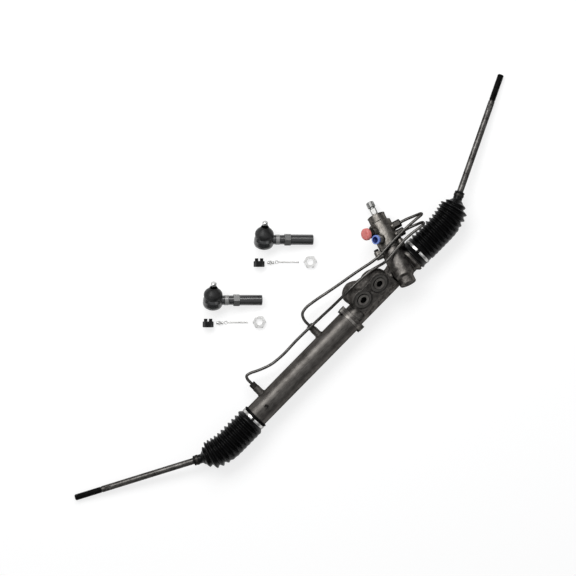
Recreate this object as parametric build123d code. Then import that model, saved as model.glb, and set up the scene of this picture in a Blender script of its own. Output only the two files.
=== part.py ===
from build123d import *
from math import asin, atan, cos, degrees, pi, radians, sin, sqrt, tan
import os

# Hydraulic rack-and-pinion steering rack, laid flat, in millimetres.
# +X runs along the rack towards the pinion end, +Y to the side of the input shaft, +Z up.
# The origin is on the rack's axis, at the middle of the cylinder tube's saddle seat.

# Clearances
RUN_FIT = 0.05
SLIDE_GAP = 0.3
BORE_GAP = 0.1

# Resting surface below the rack's axis
FLOOR_DROP = 35.4

# Rack bar and its travel
RACK_R = 13.0
LEFT_BALL_X = -248.0
RIGHT_BALL_X = 478.0

# Cylinder tube
TUBE_R = 26.5
TUBE_WALL = 3.5
TUBE_LEFT_X = -153.0
COLLAR_SETBACK = 17.5
COLLAR_WIDTH = 4.0
COLLAR_RISE = 3.8
COLLAR_EASE = 0.8
PORT_X = 90.0
PORT_BOSS_R = 8.2
PORT_BOSS_RISE = 18.5
PORT_HOLE_R = 2.6
COLLAR_X = TUBE_LEFT_X + COLLAR_SETBACK
DIMPLE_X = -103.0
DIMPLE_R = 5.5
DIMPLE_DEPTH = 1.4
TUBE_BORE_R = TUBE_R - TUBE_WALL

# Piston
PISTON_WIDTH = 16.0
PISTON_GAP = 0.5
PISTON_RING_WIDTH = 4.0
PISTON_RING_DEPTH = 2.4

# End bushing and rod seals
BUSH_LENGTH = 32.0
BUSH_INSET = 1.5
SEAL_WIDTH = 6.0
SEAL_R = 17.5
SPIGOT_LENGTH = 22.0

# Joint between the tube and the housing
JOINT_X = 165.0
JOINT_PLATE = 6.0
JOINT_FLANGE = 8.0
JOINT_R = 28.0
JOINT_BOLT_REACH = 31.5
JOINT_EAR_TURN = 30.0
JOINT_EAR_R = 6.2
JOINT_BOLT_R = 3.0
JOINT_HEAD_AF = 9.0
JOINT_HEAD_HEIGHT = 4.5

# Cast housing
BARREL_R = 24.5
BARREL_BORE_R = 14.5
SHOULDER_SETBACK = 25.6
SHOULDER_R = 26.8
NECK_SETOFF = 31.4
NECK_LENGTH = 30.0
NECK_R = 30.0

# Pinion: the shaft leans by the helix angle from square to the rack, and tips below level
HELIX = 20.0
TOWER_TIP = 14.0
PINION_X = 321.6
SHOULDER_X = PINION_X - SHOULDER_SETBACK
NECK_START_X = PINION_X + NECK_SETOFF
NECK_END_X = NECK_START_X + NECK_LENGTH
PINION_OFFSET = 17.0
TEETH = 8
MODULE = 2.0
PRESSURE_ANGLE = 25.0
PROFILE_SHIFT = 0.3
ADDENDUM = 0.9
DEDENDUM = 1.25
BACKLASH = 0.16
PINION_FACE = 32.0
CHAMBER_GAP = 1.6
RACK_TOOTH_COUNT = 26

# Stations along the pinion shaft, from its crossing with the rack
BOSS_END = -43.0
BOSS_TOP = -27.0
BOSS_R = 18.75
CAP_THICK = 5.0
CAP_R = 16.6
NUT_START = -37.6
NUT_HEIGHT = 4.6
NUT_AF = 17.0
LOWER_JOURNAL_R = 7.5
LOWER_BEARING_R = 14.0
LOWER_BEARING = (-32.0, -21.0)
UPPER_JOURNAL_R = 10.0
UPPER_BEARING_R = 21.0
UPPER_BEARING = (32.0, 43.0)
PINION_BARREL_R = 24.6
SPLIT_T = 44.0
PINION_HEAD_R = 14.6
PINION_HEAD = (45.0, 56.0)
COUPLING_DEPTH = 8.0

# Valve housing
TOWER_R = 25.5
TOWER_FLANGE_R = 26.8
TOWER_FLANGE = 7.0
TOWER_BOLT_REACH = 32.5
TOWER_BOLT_TURNS = (-80.0, 50.0, 170.0)
TOWER_BOLT_DEPTH = 10.0
TOWER_BOLT_AF = 10.0
TOWER_BOLT_HEAD = 5.5
TOWER_BOLT_R = 3.2
TOWER_EAR_R = 7.2
TOWER_SHOULDER_T = 108.0
TOWER_NECK_R = 19.7
TOWER_TOP_T = 127.0
VALVE_BORE_R = 17.0
VALVE_BORE_END = 103.0
TOP_BORE_R = 14.0

# Rotary valve
SLEEVE = (58.0, 100.0)
SLEEVE_R = 16.0
SLEEVE_RING_COUNT = 4
SLEEVE_RING_WIDTH = 2.4
SLEEVE_RING_DEPTH = 1.4
INPUT_R = 9.5
INPUT_START = 49.0
INPUT_BEARING = (104.5, 115.0)
TOP_SEAL = (116.5, 123.0)
RETAINER_THICK = 1.6
RETAINER_BITE = 0.9
INPUT_NECK_R = 7.1
INPUT_GROOVE = (145.0, 148.0)
INPUT_GROOVE_R = 6.0
INPUT_TIP_T = 161.0
INPUT_HEAD_R = 8.8
SERRATIONS = 24
SERRATION_DEPTH = 0.7
TORSION_BAR_R = 2.6
TORSION_BAR_HEAD_R = 4.0
TORSION_BAR = (28.0, 150.0)

# Ports of the valve housing: station, turn from the top towards the viewer's left, reach
RETURN_PORT = (90.0, -42.0, 58.0)
PRESSURE_PORT = (69.5, -28.0, 47.0)
LINE_STATIONS = (88.0, 68.0)
LINE_TURN = 80.0
LINE_PORTS = [(station, LINE_TURN) for station in LINE_STATIONS]
RETURN_BOSS_R = 11.8
RETURN_BOSS_REACH = 36.0
RETURN_FITTING_R = 11.2
RETURN_HEX_AF = 20.0
RETURN_HEX_HEIGHT = 8.0
RETURN_BORE_R = 6.5
PRESSURE_BOSS_R = 11.0
PRESSURE_BOSS_REACH = 30.5
PRESSURE_FITTING_AF = 18.0
PRESSURE_BORE_R = 7.0
CAP_WALL = 2.1
RETURN_CAP_LENGTH = 9.0
PRESSURE_CAP_R = 10.3
PRESSURE_CAP_FLANGE = 5.0
PRESSURE_CAP_STEM = 8.5
CAP_HOLLOW_R = 5.4
LINE_BOSS_R = 9.4
LINE_BOSS_REACH = 28.0

# Mounting lug: two bushes side by side, on an axis leaning 37 degrees towards -Y
LUG_LEAN = 37.0
LUG_OFFSET = 40.0
LUG_X = 212.5
LUG_SPACING = 49.7
LUG_FRONT = 34.0
LUG_DEPTH_LEFT = 45.0
LUG_DEPTH_RIGHT = 28.0
LUG_BOSS_R = 26.0
LUG_BACK_R = 30.0
LUG_WEB = 20.0
BUSH_SHELL_R = 23.0
BUSH_SHELL_WALL = 1.6
BUSH_SLEEVE_R = 13.0
MOUNT_BOLT_R = 7.5
BUSH_HEIGHT = 26.0
BUSH_RECESS = 1.5
SLEEVE_PROUD = 2.0

# Yoke, on the far side of the rack from the pinion
YOKE_R = 13.2
YOKE_BOSS_R = 18.6
YOKE_BOSS_REACH = 27.2
YOKE_BACK = 18.4
PLUG_FACE = 22.0
PLUG_END = 30.6
PLUG_SOCKET_AF = 12.0
YOKE_NUT_AF = 33.0
DISC_THICK = 0.9

# Ball joints at the rack's ends
BALL_R = 14.0
SEAT_WALL = 1.4
SEAT_GAP = 0.08
SOCKET_R = 19.0
SOCKET_BACK = 23.0
SOCKET_LIP_ANGLE = 60.5
SOCKET_LIP_WALL = 2.0
SOCKET_STUD_R = 7.0
SOCKET_STUD = 16.0
SEAT_RIM = 0.6

# Inner tie rods
ROD_LENGTH = 337.0
LEFT_ROD_ANGLE = 28.0
RIGHT_ROD_ANGLE = 24.9
ROD_R = 7.0
ROD_GROOVE_R = 6.2
ROD_NECK_R = 6.0
ROD_NECK_END = 25.0
THREAD_R = 6.9
THREAD_LENGTH = 61.0
ROD_TIP_EASE = 1.5
WRENCH_START = 252.0
WRENCH_LENGTH = 14.0
WRENCH_FLAT = 12.0

# Bellows
BOOT_PEAK_R = 34.5
BOOT_VALLEY_R = 28.2
BOOT_WALL = 1.9
LEFT_FOLDS = 11
RIGHT_FOLDS = 12
LEFT_CUFF_SEAT = 14.4
RIGHT_CUFF_SEAT = 22.0
FLARE_START = 8.0
BOOT_SHOULDER_R = 33.8
CUFF_WALL = 2.2
CUFF_BEAD = 1.3
CUFF_BEAD_WIDTH = 5.0
BEND_REACH = 38.0
SMALL_CUFF = (42.0, 60.0)
SMALL_CUFF_R = 10.4
TAPER_FOLDS = (0.72, 0.86, 0.96)
CLAMP_WIDTH = 7.0
CLAMP_THICK = 0.9
CLAMP_SETBACK = 10.4
LEFT_CLAMP_X = TUBE_LEFT_X + CLAMP_SETBACK
RIGHT_CLAMP_X = NECK_END_X - CLAMP_SETBACK
CLAMP_EAR = (9.0, 3.2)
SMALL_CLAMP_T = 52.0
SMALL_CLAMP_WIDTH = 5.0

# Transfer tubes and their nuts
LINE_R = 3.175
LINE_NUT_AF = 16.0
LINE_NUT_LENGTH = 15.0
PORT_NUT_AF = 13.0
PORT_NUT_LENGTH = 12.0

# Outer tie rod ends, taken off and lying beside the rack
KIT_ORIGIN = (155.0, 259.5)
KIT_STEP = (-174.2, -13.2)
KIT_COUNT = 2
KIT_TURN = -45.5
STUD_LEAN = 55.0
END_LENGTH = 109.0
END_TUBE_R = 11.6
END_THREAD_R = 6.95
END_THREAD_DEPTH = 55.0
END_BODY_R = 22.0
END_BODY = (-16.0, 8.0)
END_NECK_R = 10.6
END_BAND = (26.0, 34.0)
END_BAND_R = 11.4
END_COLLAR = (45.0, 59.0)
END_COLLAR_AF = 25.0
END_BALL_R = 11.0
END_LIP_ANGLE = 57.0
STUD_TIP = 47.0
STUD_THREAD_R = 6.0
STUD_THREAD = 17.0
STUD_TAPER_R = 7.4
DUST_TOP = 28.0
DUST_WALL = 1.5
DUST_FOOT_R = 17.0
DUST_BELLY_R = 20.2
DUST_BELLY_RISE = 5.0
DUST_GAP = 0.8
CASTLE_AF = 21.0
CASTLE_HEIGHT = 19.0
CASTLE_SLOTS = 6
CASTLE_SLOT = (4.0, 6.0)
JAM_AF = 26.0
JAM_HEIGHT = 8.0
COTTER_LENGTH = 46.0
COTTER_R = 0.9
COTTER_EYE_R = 3.2
FITTING_LENGTH = 15.0
FITTING_R = 4.0
CASTLE_SPOT = (-11.0, -50.6)
FITTING_SPOT = (7.0, -50.6)
COTTER_SPOT = (31.0, -49.5)
JAM_SPOT = (102.0, -48.5)

# Each tie rod hangs in its boot until its threaded tip rests on the floor
ROD_DROOP = degrees(asin((FLOOR_DROP - THREAD_R) / (ROD_LENGTH - ROD_TIP_EASE)))

# Directions worked out from the angles above
SHAFT_DIR = Vector(
    sin(radians(HELIX)),
    cos(radians(HELIX)) * cos(radians(TOWER_TIP)),
    -cos(radians(HELIX)) * sin(radians(TOWER_TIP)),
)
OFFSET_DIR = Vector(0, sin(radians(TOWER_TIP)), cos(radians(TOWER_TIP)))
BUSH_DIR = Vector(0, -sin(radians(LUG_LEAN)), cos(radians(LUG_LEAN)))
ACROSS_DIR = Vector(0, cos(radians(LUG_LEAN)), sin(radians(LUG_LEAN)))

RACK = Plane(origin=(0, 0, 0), x_dir=(0, 1, 0), z_dir=(1, 0, 0))
TOWER = Plane(
    origin=Vector(PINION_X, 0, 0) + OFFSET_DIR * PINION_OFFSET,
    x_dir=OFFSET_DIR,
    z_dir=SHAFT_DIR,
)
YOKE = Plane(origin=(PINION_X, 0, 0), x_dir=(1, 0, 0), z_dir=-OFFSET_DIR)


# General shapes

def turned(place, outline):
    """Solid of revolution about the local Z axis, from (along, radius) corners."""
    corners = [(radius, along) for along, radius in outline]
    profile = Plane.XZ * make_face(Polyline(*corners, close=True))
    return place * revolve(profile, Axis.Z)


def rod(place, radius, start, end):
    """Cylinder along the local Z axis between two stations."""
    blank = Cylinder(radius, end - start, align=(Align.CENTER, Align.CENTER, Align.MIN))
    return place * (Pos(0, 0, start) * blank)


def ring(place, outer, inner, start, end):
    """Plain ring about the local Z axis."""
    return turned(place, [(start, inner), (start, outer), (end, outer), (end, inner)])


def hex_bar(place, across_flats, start, end, turn=0.0):
    """Hexagonal bar along the local Z axis."""
    outline = RegularPolygon(across_flats / 2, 6, major_radius=False, rotation=turn)
    return place * (Pos(0, 0, start) * extrude(outline, end - start))


def hex_nut(place, across_flats, bore_r, start, end, turn=0.0):
    """Hexagonal nut with its corners turned off at both faces."""
    corner = across_flats / sqrt(3)
    ease = (corner - across_flats / 2) * 0.9
    lathe = [(start, 0), (start, corner - ease), (start + ease / 2, corner), (end - ease / 2, corner)]
    lathe += [(end, corner - ease), (end, 0)]
    blank = hex_bar(place, across_flats, start, end, turn) & turned(place, lathe)
    return blank - rod(place, bore_r, start - 1, end + 1)


def tower_port(station, turn):
    """Frame of a port on the valve housing, its Z axis pointing out of the bore."""
    out = OFFSET_DIR * cos(radians(turn)) + SHAFT_DIR.cross(OFFSET_DIR) * sin(radians(turn))
    return Plane(origin=TOWER.origin + SHAFT_DIR * station, x_dir=SHAFT_DIR, z_dir=out)


def rod_frame(ball_x, angle):
    """Frame at a ball centre, its Z axis along the tie rod."""
    side = 1 if ball_x > 0 else -1
    level = cos(radians(ROD_DROOP))
    along = Vector(
        side * cos(radians(angle)) * level,
        sin(radians(angle)) * level,
        -sin(radians(ROD_DROOP)),
    )
    return Plane(origin=(ball_x, 0, 0), x_dir=(0, 0, 1), z_dir=along)


def socket_frame(ball_x):
    """Frame at a ball centre, its Z axis pointing outwards along the rack."""
    side = 1 if ball_x > 0 else -1
    return Plane(origin=(ball_x, 0, 0), x_dir=(0, 1, 0), z_dir=(side, 0, 0))


LEFT_ROD = rod_frame(LEFT_BALL_X, LEFT_ROD_ANGLE)
RIGHT_ROD = rod_frame(RIGHT_BALL_X, RIGHT_ROD_ANGLE)
LEFT_SOCKET = socket_frame(LEFT_BALL_X)
RIGHT_SOCKET = socket_frame(RIGHT_BALL_X)


# Cylinder tube, its joint flange and bolts

def port_frame(x):
    return Plane(origin=(x, 0, 0), x_dir=(1, 0, 0), z_dir=(0, 1, 0))


def cylinder_tube():
    collar_in = COLLAR_X - COLLAR_WIDTH / 2
    collar_out = COLLAR_X + COLLAR_WIDTH / 2
    top = TUBE_R + COLLAR_RISE
    outline = [(TUBE_LEFT_X, TUBE_BORE_R), (TUBE_LEFT_X, TUBE_R), (collar_in, TUBE_R)]
    outline += [(collar_in, top - COLLAR_EASE), (collar_in + COLLAR_EASE, top)]
    outline += [(collar_out - COLLAR_EASE, top), (collar_out, top - COLLAR_EASE)]
    outline += [(collar_out, TUBE_R), (JOINT_X, TUBE_R), (JOINT_X, TUBE_BORE_R)]
    tube = turned(RACK, outline)
    bore = rod(RACK, TUBE_BORE_R, TUBE_LEFT_X, JOINT_X)
    for x in (-PORT_X, PORT_X):
        boss_top = TUBE_R + PORT_BOSS_RISE
        ease = PORT_BOSS_R / 6
        boss = turned(port_frame(x), [
            (0, 0), (0, PORT_BOSS_R + ease), (TUBE_R + ease, PORT_BOSS_R + ease),
            (TUBE_R + 2 * ease, PORT_BOSS_R), (boss_top - ease / 2, PORT_BOSS_R),
            (boss_top, PORT_BOSS_R - ease / 2), (boss_top, 0),
        ])
        tube += boss - bore
        tube -= rod(port_frame(x), PORT_HOLE_R, 0, boss_top + 1)
    dimple_height = TUBE_R + DIMPLE_R - DIMPLE_DEPTH
    return tube - Pos(DIMPLE_X, 0, dimple_height) * Sphere(DIMPLE_R)


def joint_bolt_frames():
    """Frames at the two flange bolts: X points outwards and Z along the rack."""
    frames = []
    for side in (-1, 1):
        level = side * cos(radians(JOINT_EAR_TURN))
        lift = side * sin(radians(JOINT_EAR_TURN))
        out = Vector(0, level, lift)
        frames.append(Plane(origin=out * JOINT_BOLT_REACH, x_dir=out, z_dir=(1, 0, 0)))
    return frames


def eared_flange(start, end, bore_r):
    """Round flange with an ear for a bolt on each side."""
    plate = ring(RACK, JOINT_R, bore_r, start, end)
    inner = bore_r + 0.5
    for place in joint_bolt_frames():
        web = Box(
            JOINT_BOLT_REACH - inner, 2 * JOINT_EAR_R, end - start,
            align=(Align.MAX, Align.CENTER, Align.MIN),
        )
        ear = rod(place, JOINT_EAR_R, start, end) + place * (Pos(0, 0, start) * web)
        plate += ear - rod(RACK, inner, start - 1, end + 1)
        plate -= rod(place, JOINT_BOLT_R + BORE_GAP, start - 1, end + 1)
    return plate


def joint_flange():
    return eared_flange(JOINT_X - JOINT_PLATE, JOINT_X, TUBE_R)


def joint_bolts():
    bolts = []
    face = JOINT_X - JOINT_PLATE
    for place in joint_bolt_frames():
        head = hex_bar(place, JOINT_HEAD_AF, face - JOINT_HEAD_HEIGHT, face, turn=30)
        bolts.append(head + rod(place, JOINT_BOLT_R, face, JOINT_X + JOINT_FLANGE))
    return bolts


# Piston, bushing and seals inside the tube

def piston():
    half = PISTON_WIDTH / 2
    ring_half = PISTON_RING_WIDTH / 2
    outer = TUBE_BORE_R - PISTON_GAP
    groove = TUBE_BORE_R - RUN_FIT - PISTON_RING_DEPTH
    return turned(RACK, [
        (-half, RACK_R), (-half, outer - 1), (1 - half, outer), (-ring_half, outer),
        (-ring_half, groove), (ring_half, groove), (ring_half, outer), (half - 1, outer),
        (half, outer - 1), (half, RACK_R),
    ])


def piston_ring():
    half = PISTON_RING_WIDTH / 2
    outer = TUBE_BORE_R - RUN_FIT
    return ring(RACK, outer, outer - PISTON_RING_DEPTH, -half, half)


def end_bushing():
    start = TUBE_LEFT_X + BUSH_INSET
    end = start + BUSH_LENGTH
    bore = RACK_R + RUN_FIT
    return turned(RACK, [
        (start, bore + 1.5), (start, TUBE_BORE_R), (end, TUBE_BORE_R), (end, SEAL_R),
        (end - SEAL_WIDTH, SEAL_R), (end - SEAL_WIDTH, bore), (start + 1.5, bore),
    ])


def rod_seals():
    left = TUBE_LEFT_X + BUSH_INSET + BUSH_LENGTH
    right = JOINT_X - SPIGOT_LENGTH
    bore = RACK_R + RUN_FIT
    return [
        ring(RACK, SEAL_R, bore, left - SEAL_WIDTH, left),
        ring(RACK, SEAL_R, bore, right, right + SEAL_WIDTH),
    ]


# Rack bar with its teeth, and the pinion that meshes with it

PITCH = pi * MODULE
PITCH_R = MODULE * TEETH / (2 * cos(radians(HELIX)))
SHIFT = MODULE * PROFILE_SHIFT
RACK_LINE = PINION_OFFSET - PITCH_R - SHIFT
RACK_TIP = RACK_LINE + MODULE * ADDENDUM
RACK_ROOT = RACK_LINE - MODULE * DEDENDUM
PINION_TIP_R = PITCH_R + SHIFT + MODULE * ADDENDUM
PINION_ROOT_R = PITCH_R + SHIFT - MODULE * DEDENDUM


def rack_teeth_cutter():
    """The gaps between the teeth, and the flat above them."""
    flank = tan(radians(PRESSURE_ANGLE))
    half_gap = (PITCH + BACKLASH) / 4
    top_half = half_gap + (RACK_TIP - RACK_LINE) * flank
    root_half = half_gap - (RACK_LINE - RACK_ROOT) * flank
    reach = RACK_R + 1
    first = -(RACK_TOOTH_COUNT / 2) * PITCH
    corners = [(first - PITCH / 2, reach), (first - PITCH / 2, RACK_TIP)]
    for gap in range(RACK_TOOTH_COUNT):
        middle = first + (gap + 0.5) * PITCH
        corners += [(middle - top_half, RACK_TIP), (middle - root_half, RACK_ROOT)]
        corners += [(middle + root_half, RACK_ROOT), (middle + top_half, RACK_TIP)]
    corners += [(-first + PITCH / 2, RACK_TIP), (-first + PITCH / 2, reach)]
    side_on = Plane(
        origin=(PINION_X, 0, 0), x_dir=(1, 0, 0), z_dir=Vector(1, 0, 0).cross(OFFSET_DIR)
    )
    outline = side_on * make_face(Polyline(*corners, close=True))
    return extrude(outline, reach, both=True)


def rack_bar():
    left = LEFT_BALL_X + SOCKET_BACK
    right = RIGHT_BALL_X - SOCKET_BACK
    bar = turned(RACK, [
        (left, 0), (left, RACK_R - 1.5), (left + 1.5, RACK_R), (right - 1.5, RACK_R),
        (right, RACK_R - 1.5), (right, 0),
    ])
    bar -= rack_teeth_cutter()
    depth = SOCKET_STUD + 1
    bar -= rod(RACK, SOCKET_STUD_R + BORE_GAP, left, left + depth)
    bar -= rod(RACK, SOCKET_STUD_R + BORE_GAP, right - depth, right)
    return bar


def pinion_section():
    """Section square to the pinion shaft, with a gap between teeth facing the rack."""
    pressure = atan(tan(radians(PRESSURE_ANGLE)) / cos(radians(HELIX)))
    base_r = PITCH_R * cos(pressure)
    tooth = pi * PITCH_R / TEETH + 2 * SHIFT * tan(pressure) - BACKLASH / 2
    half_at_base = tooth / (2 * PITCH_R) + tan(pressure) - pressure

    def flank_point(radius):
        roll = sqrt(max(radius ** 2 - base_r ** 2, 0)) / base_r
        return radius, half_at_base - (roll - atan(roll))

    def place(radius, angle):
        return radius * cos(angle), radius * sin(angle)

    edges = []
    step = 2 * pi / TEETH
    mid_r = (base_r + PINION_TIP_R) / 2
    for number in range(TEETH):
        centre = pi + (number + 0.5) * step
        base, middle, tip = flank_point(base_r), flank_point(mid_r), flank_point(PINION_TIP_R)
        left = [place(r, centre - a) for r, a in (base, middle, tip)]
        right = [place(r, centre + a) for r, a in (tip, middle, base)]
        root_in = place(PINION_ROOT_R, centre - half_at_base)
        root_out = place(PINION_ROOT_R, centre + half_at_base)
        next_root = place(PINION_ROOT_R, centre + step - half_at_base)
        root_mid = place(PINION_ROOT_R, centre + step / 2)
        edges += [Line(root_in, left[0]), ThreePointArc(*left)]
        edges += [ThreePointArc(left[2], place(PINION_TIP_R, centre), right[0])]
        edges += [ThreePointArc(*right), Line(right[2], root_out)]
        edges += [ThreePointArc(root_out, root_mid, next_root)]
    return Wire(edges)


def pinion():
    half = PINION_FACE / 2
    twist = degrees(PINION_FACE * tan(radians(HELIX)) / PITCH_R)
    section = pinion_section().rotate(Axis.Z, -twist / 2)
    toothed = Solid.extrude_linear_with_rotation(
        section.moved(Location((0, 0, -half))), (0, 0, -half), (0, 0, PINION_FACE), twist
    )
    lower = turned(Plane.XY, [
        (NUT_START - 0.4, 0), (NUT_START - 0.4, LOWER_JOURNAL_R - 1),
        (NUT_START + 0.6, LOWER_JOURNAL_R), (-half, LOWER_JOURNAL_R), (-half, 0),
    ])
    lower_step = rod(Plane.XY, PINION_ROOT_R, -half - 1, -half + 1)
    upper = turned(Plane.XY, [
        (half, 0), (half, PINION_ROOT_R + 1), (half + 1.5, UPPER_JOURNAL_R),
        (UPPER_BEARING[1] + 0.5, UPPER_JOURNAL_R), (PINION_HEAD[0], PINION_HEAD_R - 1),
        (PINION_HEAD[0] + 1, PINION_HEAD_R), (PINION_HEAD[1], PINION_HEAD_R), (PINION_HEAD[1], 0),
    ])
    shaft = Part() + toothed + lower + lower_step + upper
    mouth = PINION_HEAD[1] - COUPLING_DEPTH
    shaft -= rod(Plane.XY, INPUT_R + 1.2, mouth, PINION_HEAD[1] + 1)
    shaft -= rod(Plane.XY, TORSION_BAR_HEAD_R + RUN_FIT, TORSION_BAR[0] - 0.5, mouth + 1)
    return TOWER * shaft


def pinion_nut():
    return hex_nut(TOWER, NUT_AF, LOWER_JOURNAL_R, NUT_START, NUT_START + NUT_HEIGHT)


def rolling_bearing(inner, outer, span):
    """Bearing closed by its shields, with the groove between its two races."""
    start, end = span
    width = end - start
    race = (outer - inner) / 4
    shield = width / 10
    return turned(TOWER, [
        (start, inner), (start, inner + race), (start + shield, inner + race),
        (start + shield, outer - race), (start, outer - race), (start, outer),
        (end, outer), (end, outer - race), (end - shield, outer - race),
        (end - shield, inner + race), (end, inner + race), (end, inner),
    ])


def bottom_cap():
    start = BOSS_END
    return turned(TOWER, [
        (start - 1.2, 0), (start - 1.2, CAP_R - 5), (start, CAP_R - 4), (start, CAP_R - 0.8),
        (start + 0.8, CAP_R), (start + CAP_THICK - 1, CAP_R), (start + CAP_THICK - 1, 0),
    ])


# Rotary valve

def sleeve_ring_stations():
    start, end = SLEEVE
    step = (end - start - 8) / (SLEEVE_RING_COUNT - 1)
    return [start + 4 + number * step for number in range(SLEEVE_RING_COUNT)]


def valve_sleeve():
    start, end = SLEEVE
    sleeve = ring(TOWER, SLEEVE_R, INPUT_R + RUN_FIT, start, end)
    coupling = ring(TOWER, SLEEVE_R, INPUT_R + 1.2, PINION_HEAD[1], start)
    sleeve += coupling
    half = SLEEVE_RING_WIDTH / 2
    groove_r = VALVE_BORE_R - RUN_FIT - SLEEVE_RING_DEPTH
    for station in sleeve_ring_stations():
        sleeve -= ring(TOWER, SLEEVE_R + 1, groove_r, station - half, station + half)
    return sleeve


def sleeve_rings():
    half = SLEEVE_RING_WIDTH / 2
    outer = VALVE_BORE_R - RUN_FIT
    return [
        ring(TOWER, outer, outer - SLEEVE_RING_DEPTH, station - half, station + half)
        for station in sleeve_ring_stations()
    ]


def torsion_bar():
    start, end = TORSION_BAR
    head = TORSION_BAR_HEAD_R
    return turned(TOWER, [
        (start, 0), (start, head), (start + 14, head), (start + 18, TORSION_BAR_R),
        (end, TORSION_BAR_R), (end, 0),
    ])


def input_shaft():
    groove_start, groove_end = INPUT_GROOVE
    shaft = turned(Plane.XY, [
        (INPUT_START, 0), (INPUT_START, INPUT_R - 1), (INPUT_START + 1, INPUT_R),
        (TOWER_TOP_T - 2, INPUT_R), (TOWER_TOP_T, INPUT_NECK_R), (groove_start, INPUT_NECK_R),
        (groove_start, INPUT_GROOVE_R), (groove_end, INPUT_GROOVE_R),
        (groove_end, INPUT_HEAD_R - 1), (groove_end + 1, INPUT_HEAD_R),
        (INPUT_TIP_T - 1.2, INPUT_HEAD_R), (INPUT_TIP_T, INPUT_HEAD_R - 1.2), (INPUT_TIP_T, 0),
    ])
    notch = extrude(RegularPolygon(SERRATION_DEPTH * 1.4, 3), INPUT_TIP_T - groove_end + 2)
    for number in range(SERRATIONS):
        turn = Rot(0, 0, number * 360 / SERRATIONS)
        shaft -= turn * (Pos(INPUT_HEAD_R + SERRATION_DEPTH * 0.5, 0, groove_end - 1) * (
            Rot(0, 0, 180) * notch))
    flat_depth = INPUT_NECK_R - 5.4
    flat = Box(flat_depth * 2, 16, 12, align=(Align.CENTER, Align.CENTER, Align.MIN))
    shaft -= Pos(INPUT_NECK_R, 0, groove_start - 13) * flat
    bar_room = TORSION_BAR_R + 0.3
    shaft -= rod(Plane.XY, bar_room, INPUT_START - 1, TORSION_BAR[1] + 0.5)
    return TOWER * shaft


# Valve housing and what closes it

def tower_bolt_frames():
    frames = []
    for turn in TOWER_BOLT_TURNS:
        out = tower_port(0, turn).z_dir
        origin = TOWER.origin + out * TOWER_BOLT_REACH
        frames.append(Plane(origin=origin, x_dir=out, z_dir=SHAFT_DIR))
    return frames


def flange_ears(start, end):
    """Ears for the bolts that hold the valve housing to the rack housing."""
    ears = None
    for place in tower_bolt_frames():
        web = Box(
            TOWER_BOLT_REACH, 2 * TOWER_EAR_R, end - start,
            align=(Align.MAX, Align.CENTER, Align.MIN),
        )
        ear = rod(place, TOWER_EAR_R, start, end) + place * (Pos(0, 0, start) * web)
        ears = ear if ears is None else ears + ear
    return ears


def valve_housing():
    flange_top = SPLIT_T + TOWER_FLANGE
    body = turned(TOWER, [
        (SPLIT_T, 0), (SPLIT_T, TOWER_FLANGE_R), (flange_top, TOWER_FLANGE_R),
        (flange_top + 1.3, TOWER_R), (TOWER_SHOULDER_T, TOWER_R),
        (TOWER_SHOULDER_T + 3, TOWER_NECK_R), (TOWER_TOP_T - 1.6, TOWER_NECK_R),
        (TOWER_TOP_T - 1.6, TOWER_NECK_R + 0.6), (TOWER_TOP_T, TOWER_NECK_R + 0.6),
        (TOWER_TOP_T, 0),
    ])
    body += flange_ears(SPLIT_T, flange_top)
    for (station, turn, _), radius, reach in (
        (RETURN_PORT, RETURN_BOSS_R, RETURN_BOSS_REACH),
        (PRESSURE_PORT, PRESSURE_BOSS_R, PRESSURE_BOSS_REACH),
    ):
        body += rod(tower_port(station, turn), radius, 0, reach)
    for station, turn in LINE_PORTS:
        body += rod(tower_port(station, turn), LINE_BOSS_R, 0, LINE_BOSS_REACH)
    for place in tower_bolt_frames():
        body -= rod(place, TOWER_BOLT_R + BORE_GAP, SPLIT_T - 1, flange_top + 1)
    body -= rod(TOWER, VALVE_BORE_R, SPLIT_T - 1, VALVE_BORE_END)
    body -= rod(TOWER, TOP_BORE_R, VALVE_BORE_END - 1, TOWER_TOP_T + 1)
    retainer = TOP_SEAL[1] + 0.2
    body -= rod(TOWER, TOP_BORE_R + RETAINER_BITE, retainer, retainer + RETAINER_THICK)
    for (station, turn, _), radius, reach in (
        (RETURN_PORT, RETURN_BORE_R, RETURN_BOSS_REACH),
        (PRESSURE_PORT, PRESSURE_BORE_R - 2, PRESSURE_BOSS_REACH),
    ):
        body -= rod(tower_port(station, turn), radius, VALVE_BORE_R - 2, reach + 1)
    for station, turn in LINE_PORTS:
        body -= rod(tower_port(station, turn), PORT_HOLE_R, VALVE_BORE_R - 2, LINE_BOSS_REACH + 1)
    return body


def tower_bolts():
    top = SPLIT_T + TOWER_FLANGE
    bolts = []
    for place in tower_bolt_frames():
        shank = rod(place, TOWER_BOLT_R, SPLIT_T - TOWER_BOLT_DEPTH, top)
        bolts.append(shank + hex_bar(place, TOWER_BOLT_AF, top, top + TOWER_BOLT_HEAD, turn=30))
    return bolts


def top_seal():
    start, end = TOP_SEAL
    return turned(TOWER, [
        (start, INPUT_R + RUN_FIT), (start, TOP_BORE_R), (end, TOP_BORE_R),
        (end, INPUT_R + 2.5), (end - 2, INPUT_R + 1.4), (end - 1, INPUT_R + RUN_FIT),
    ])


def seal_retainer():
    start = TOP_SEAL[1] + 0.2
    return ring(TOWER, TOP_BORE_R + RETAINER_BITE, TOP_BORE_R - 2, start, start + RETAINER_THICK)


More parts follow.
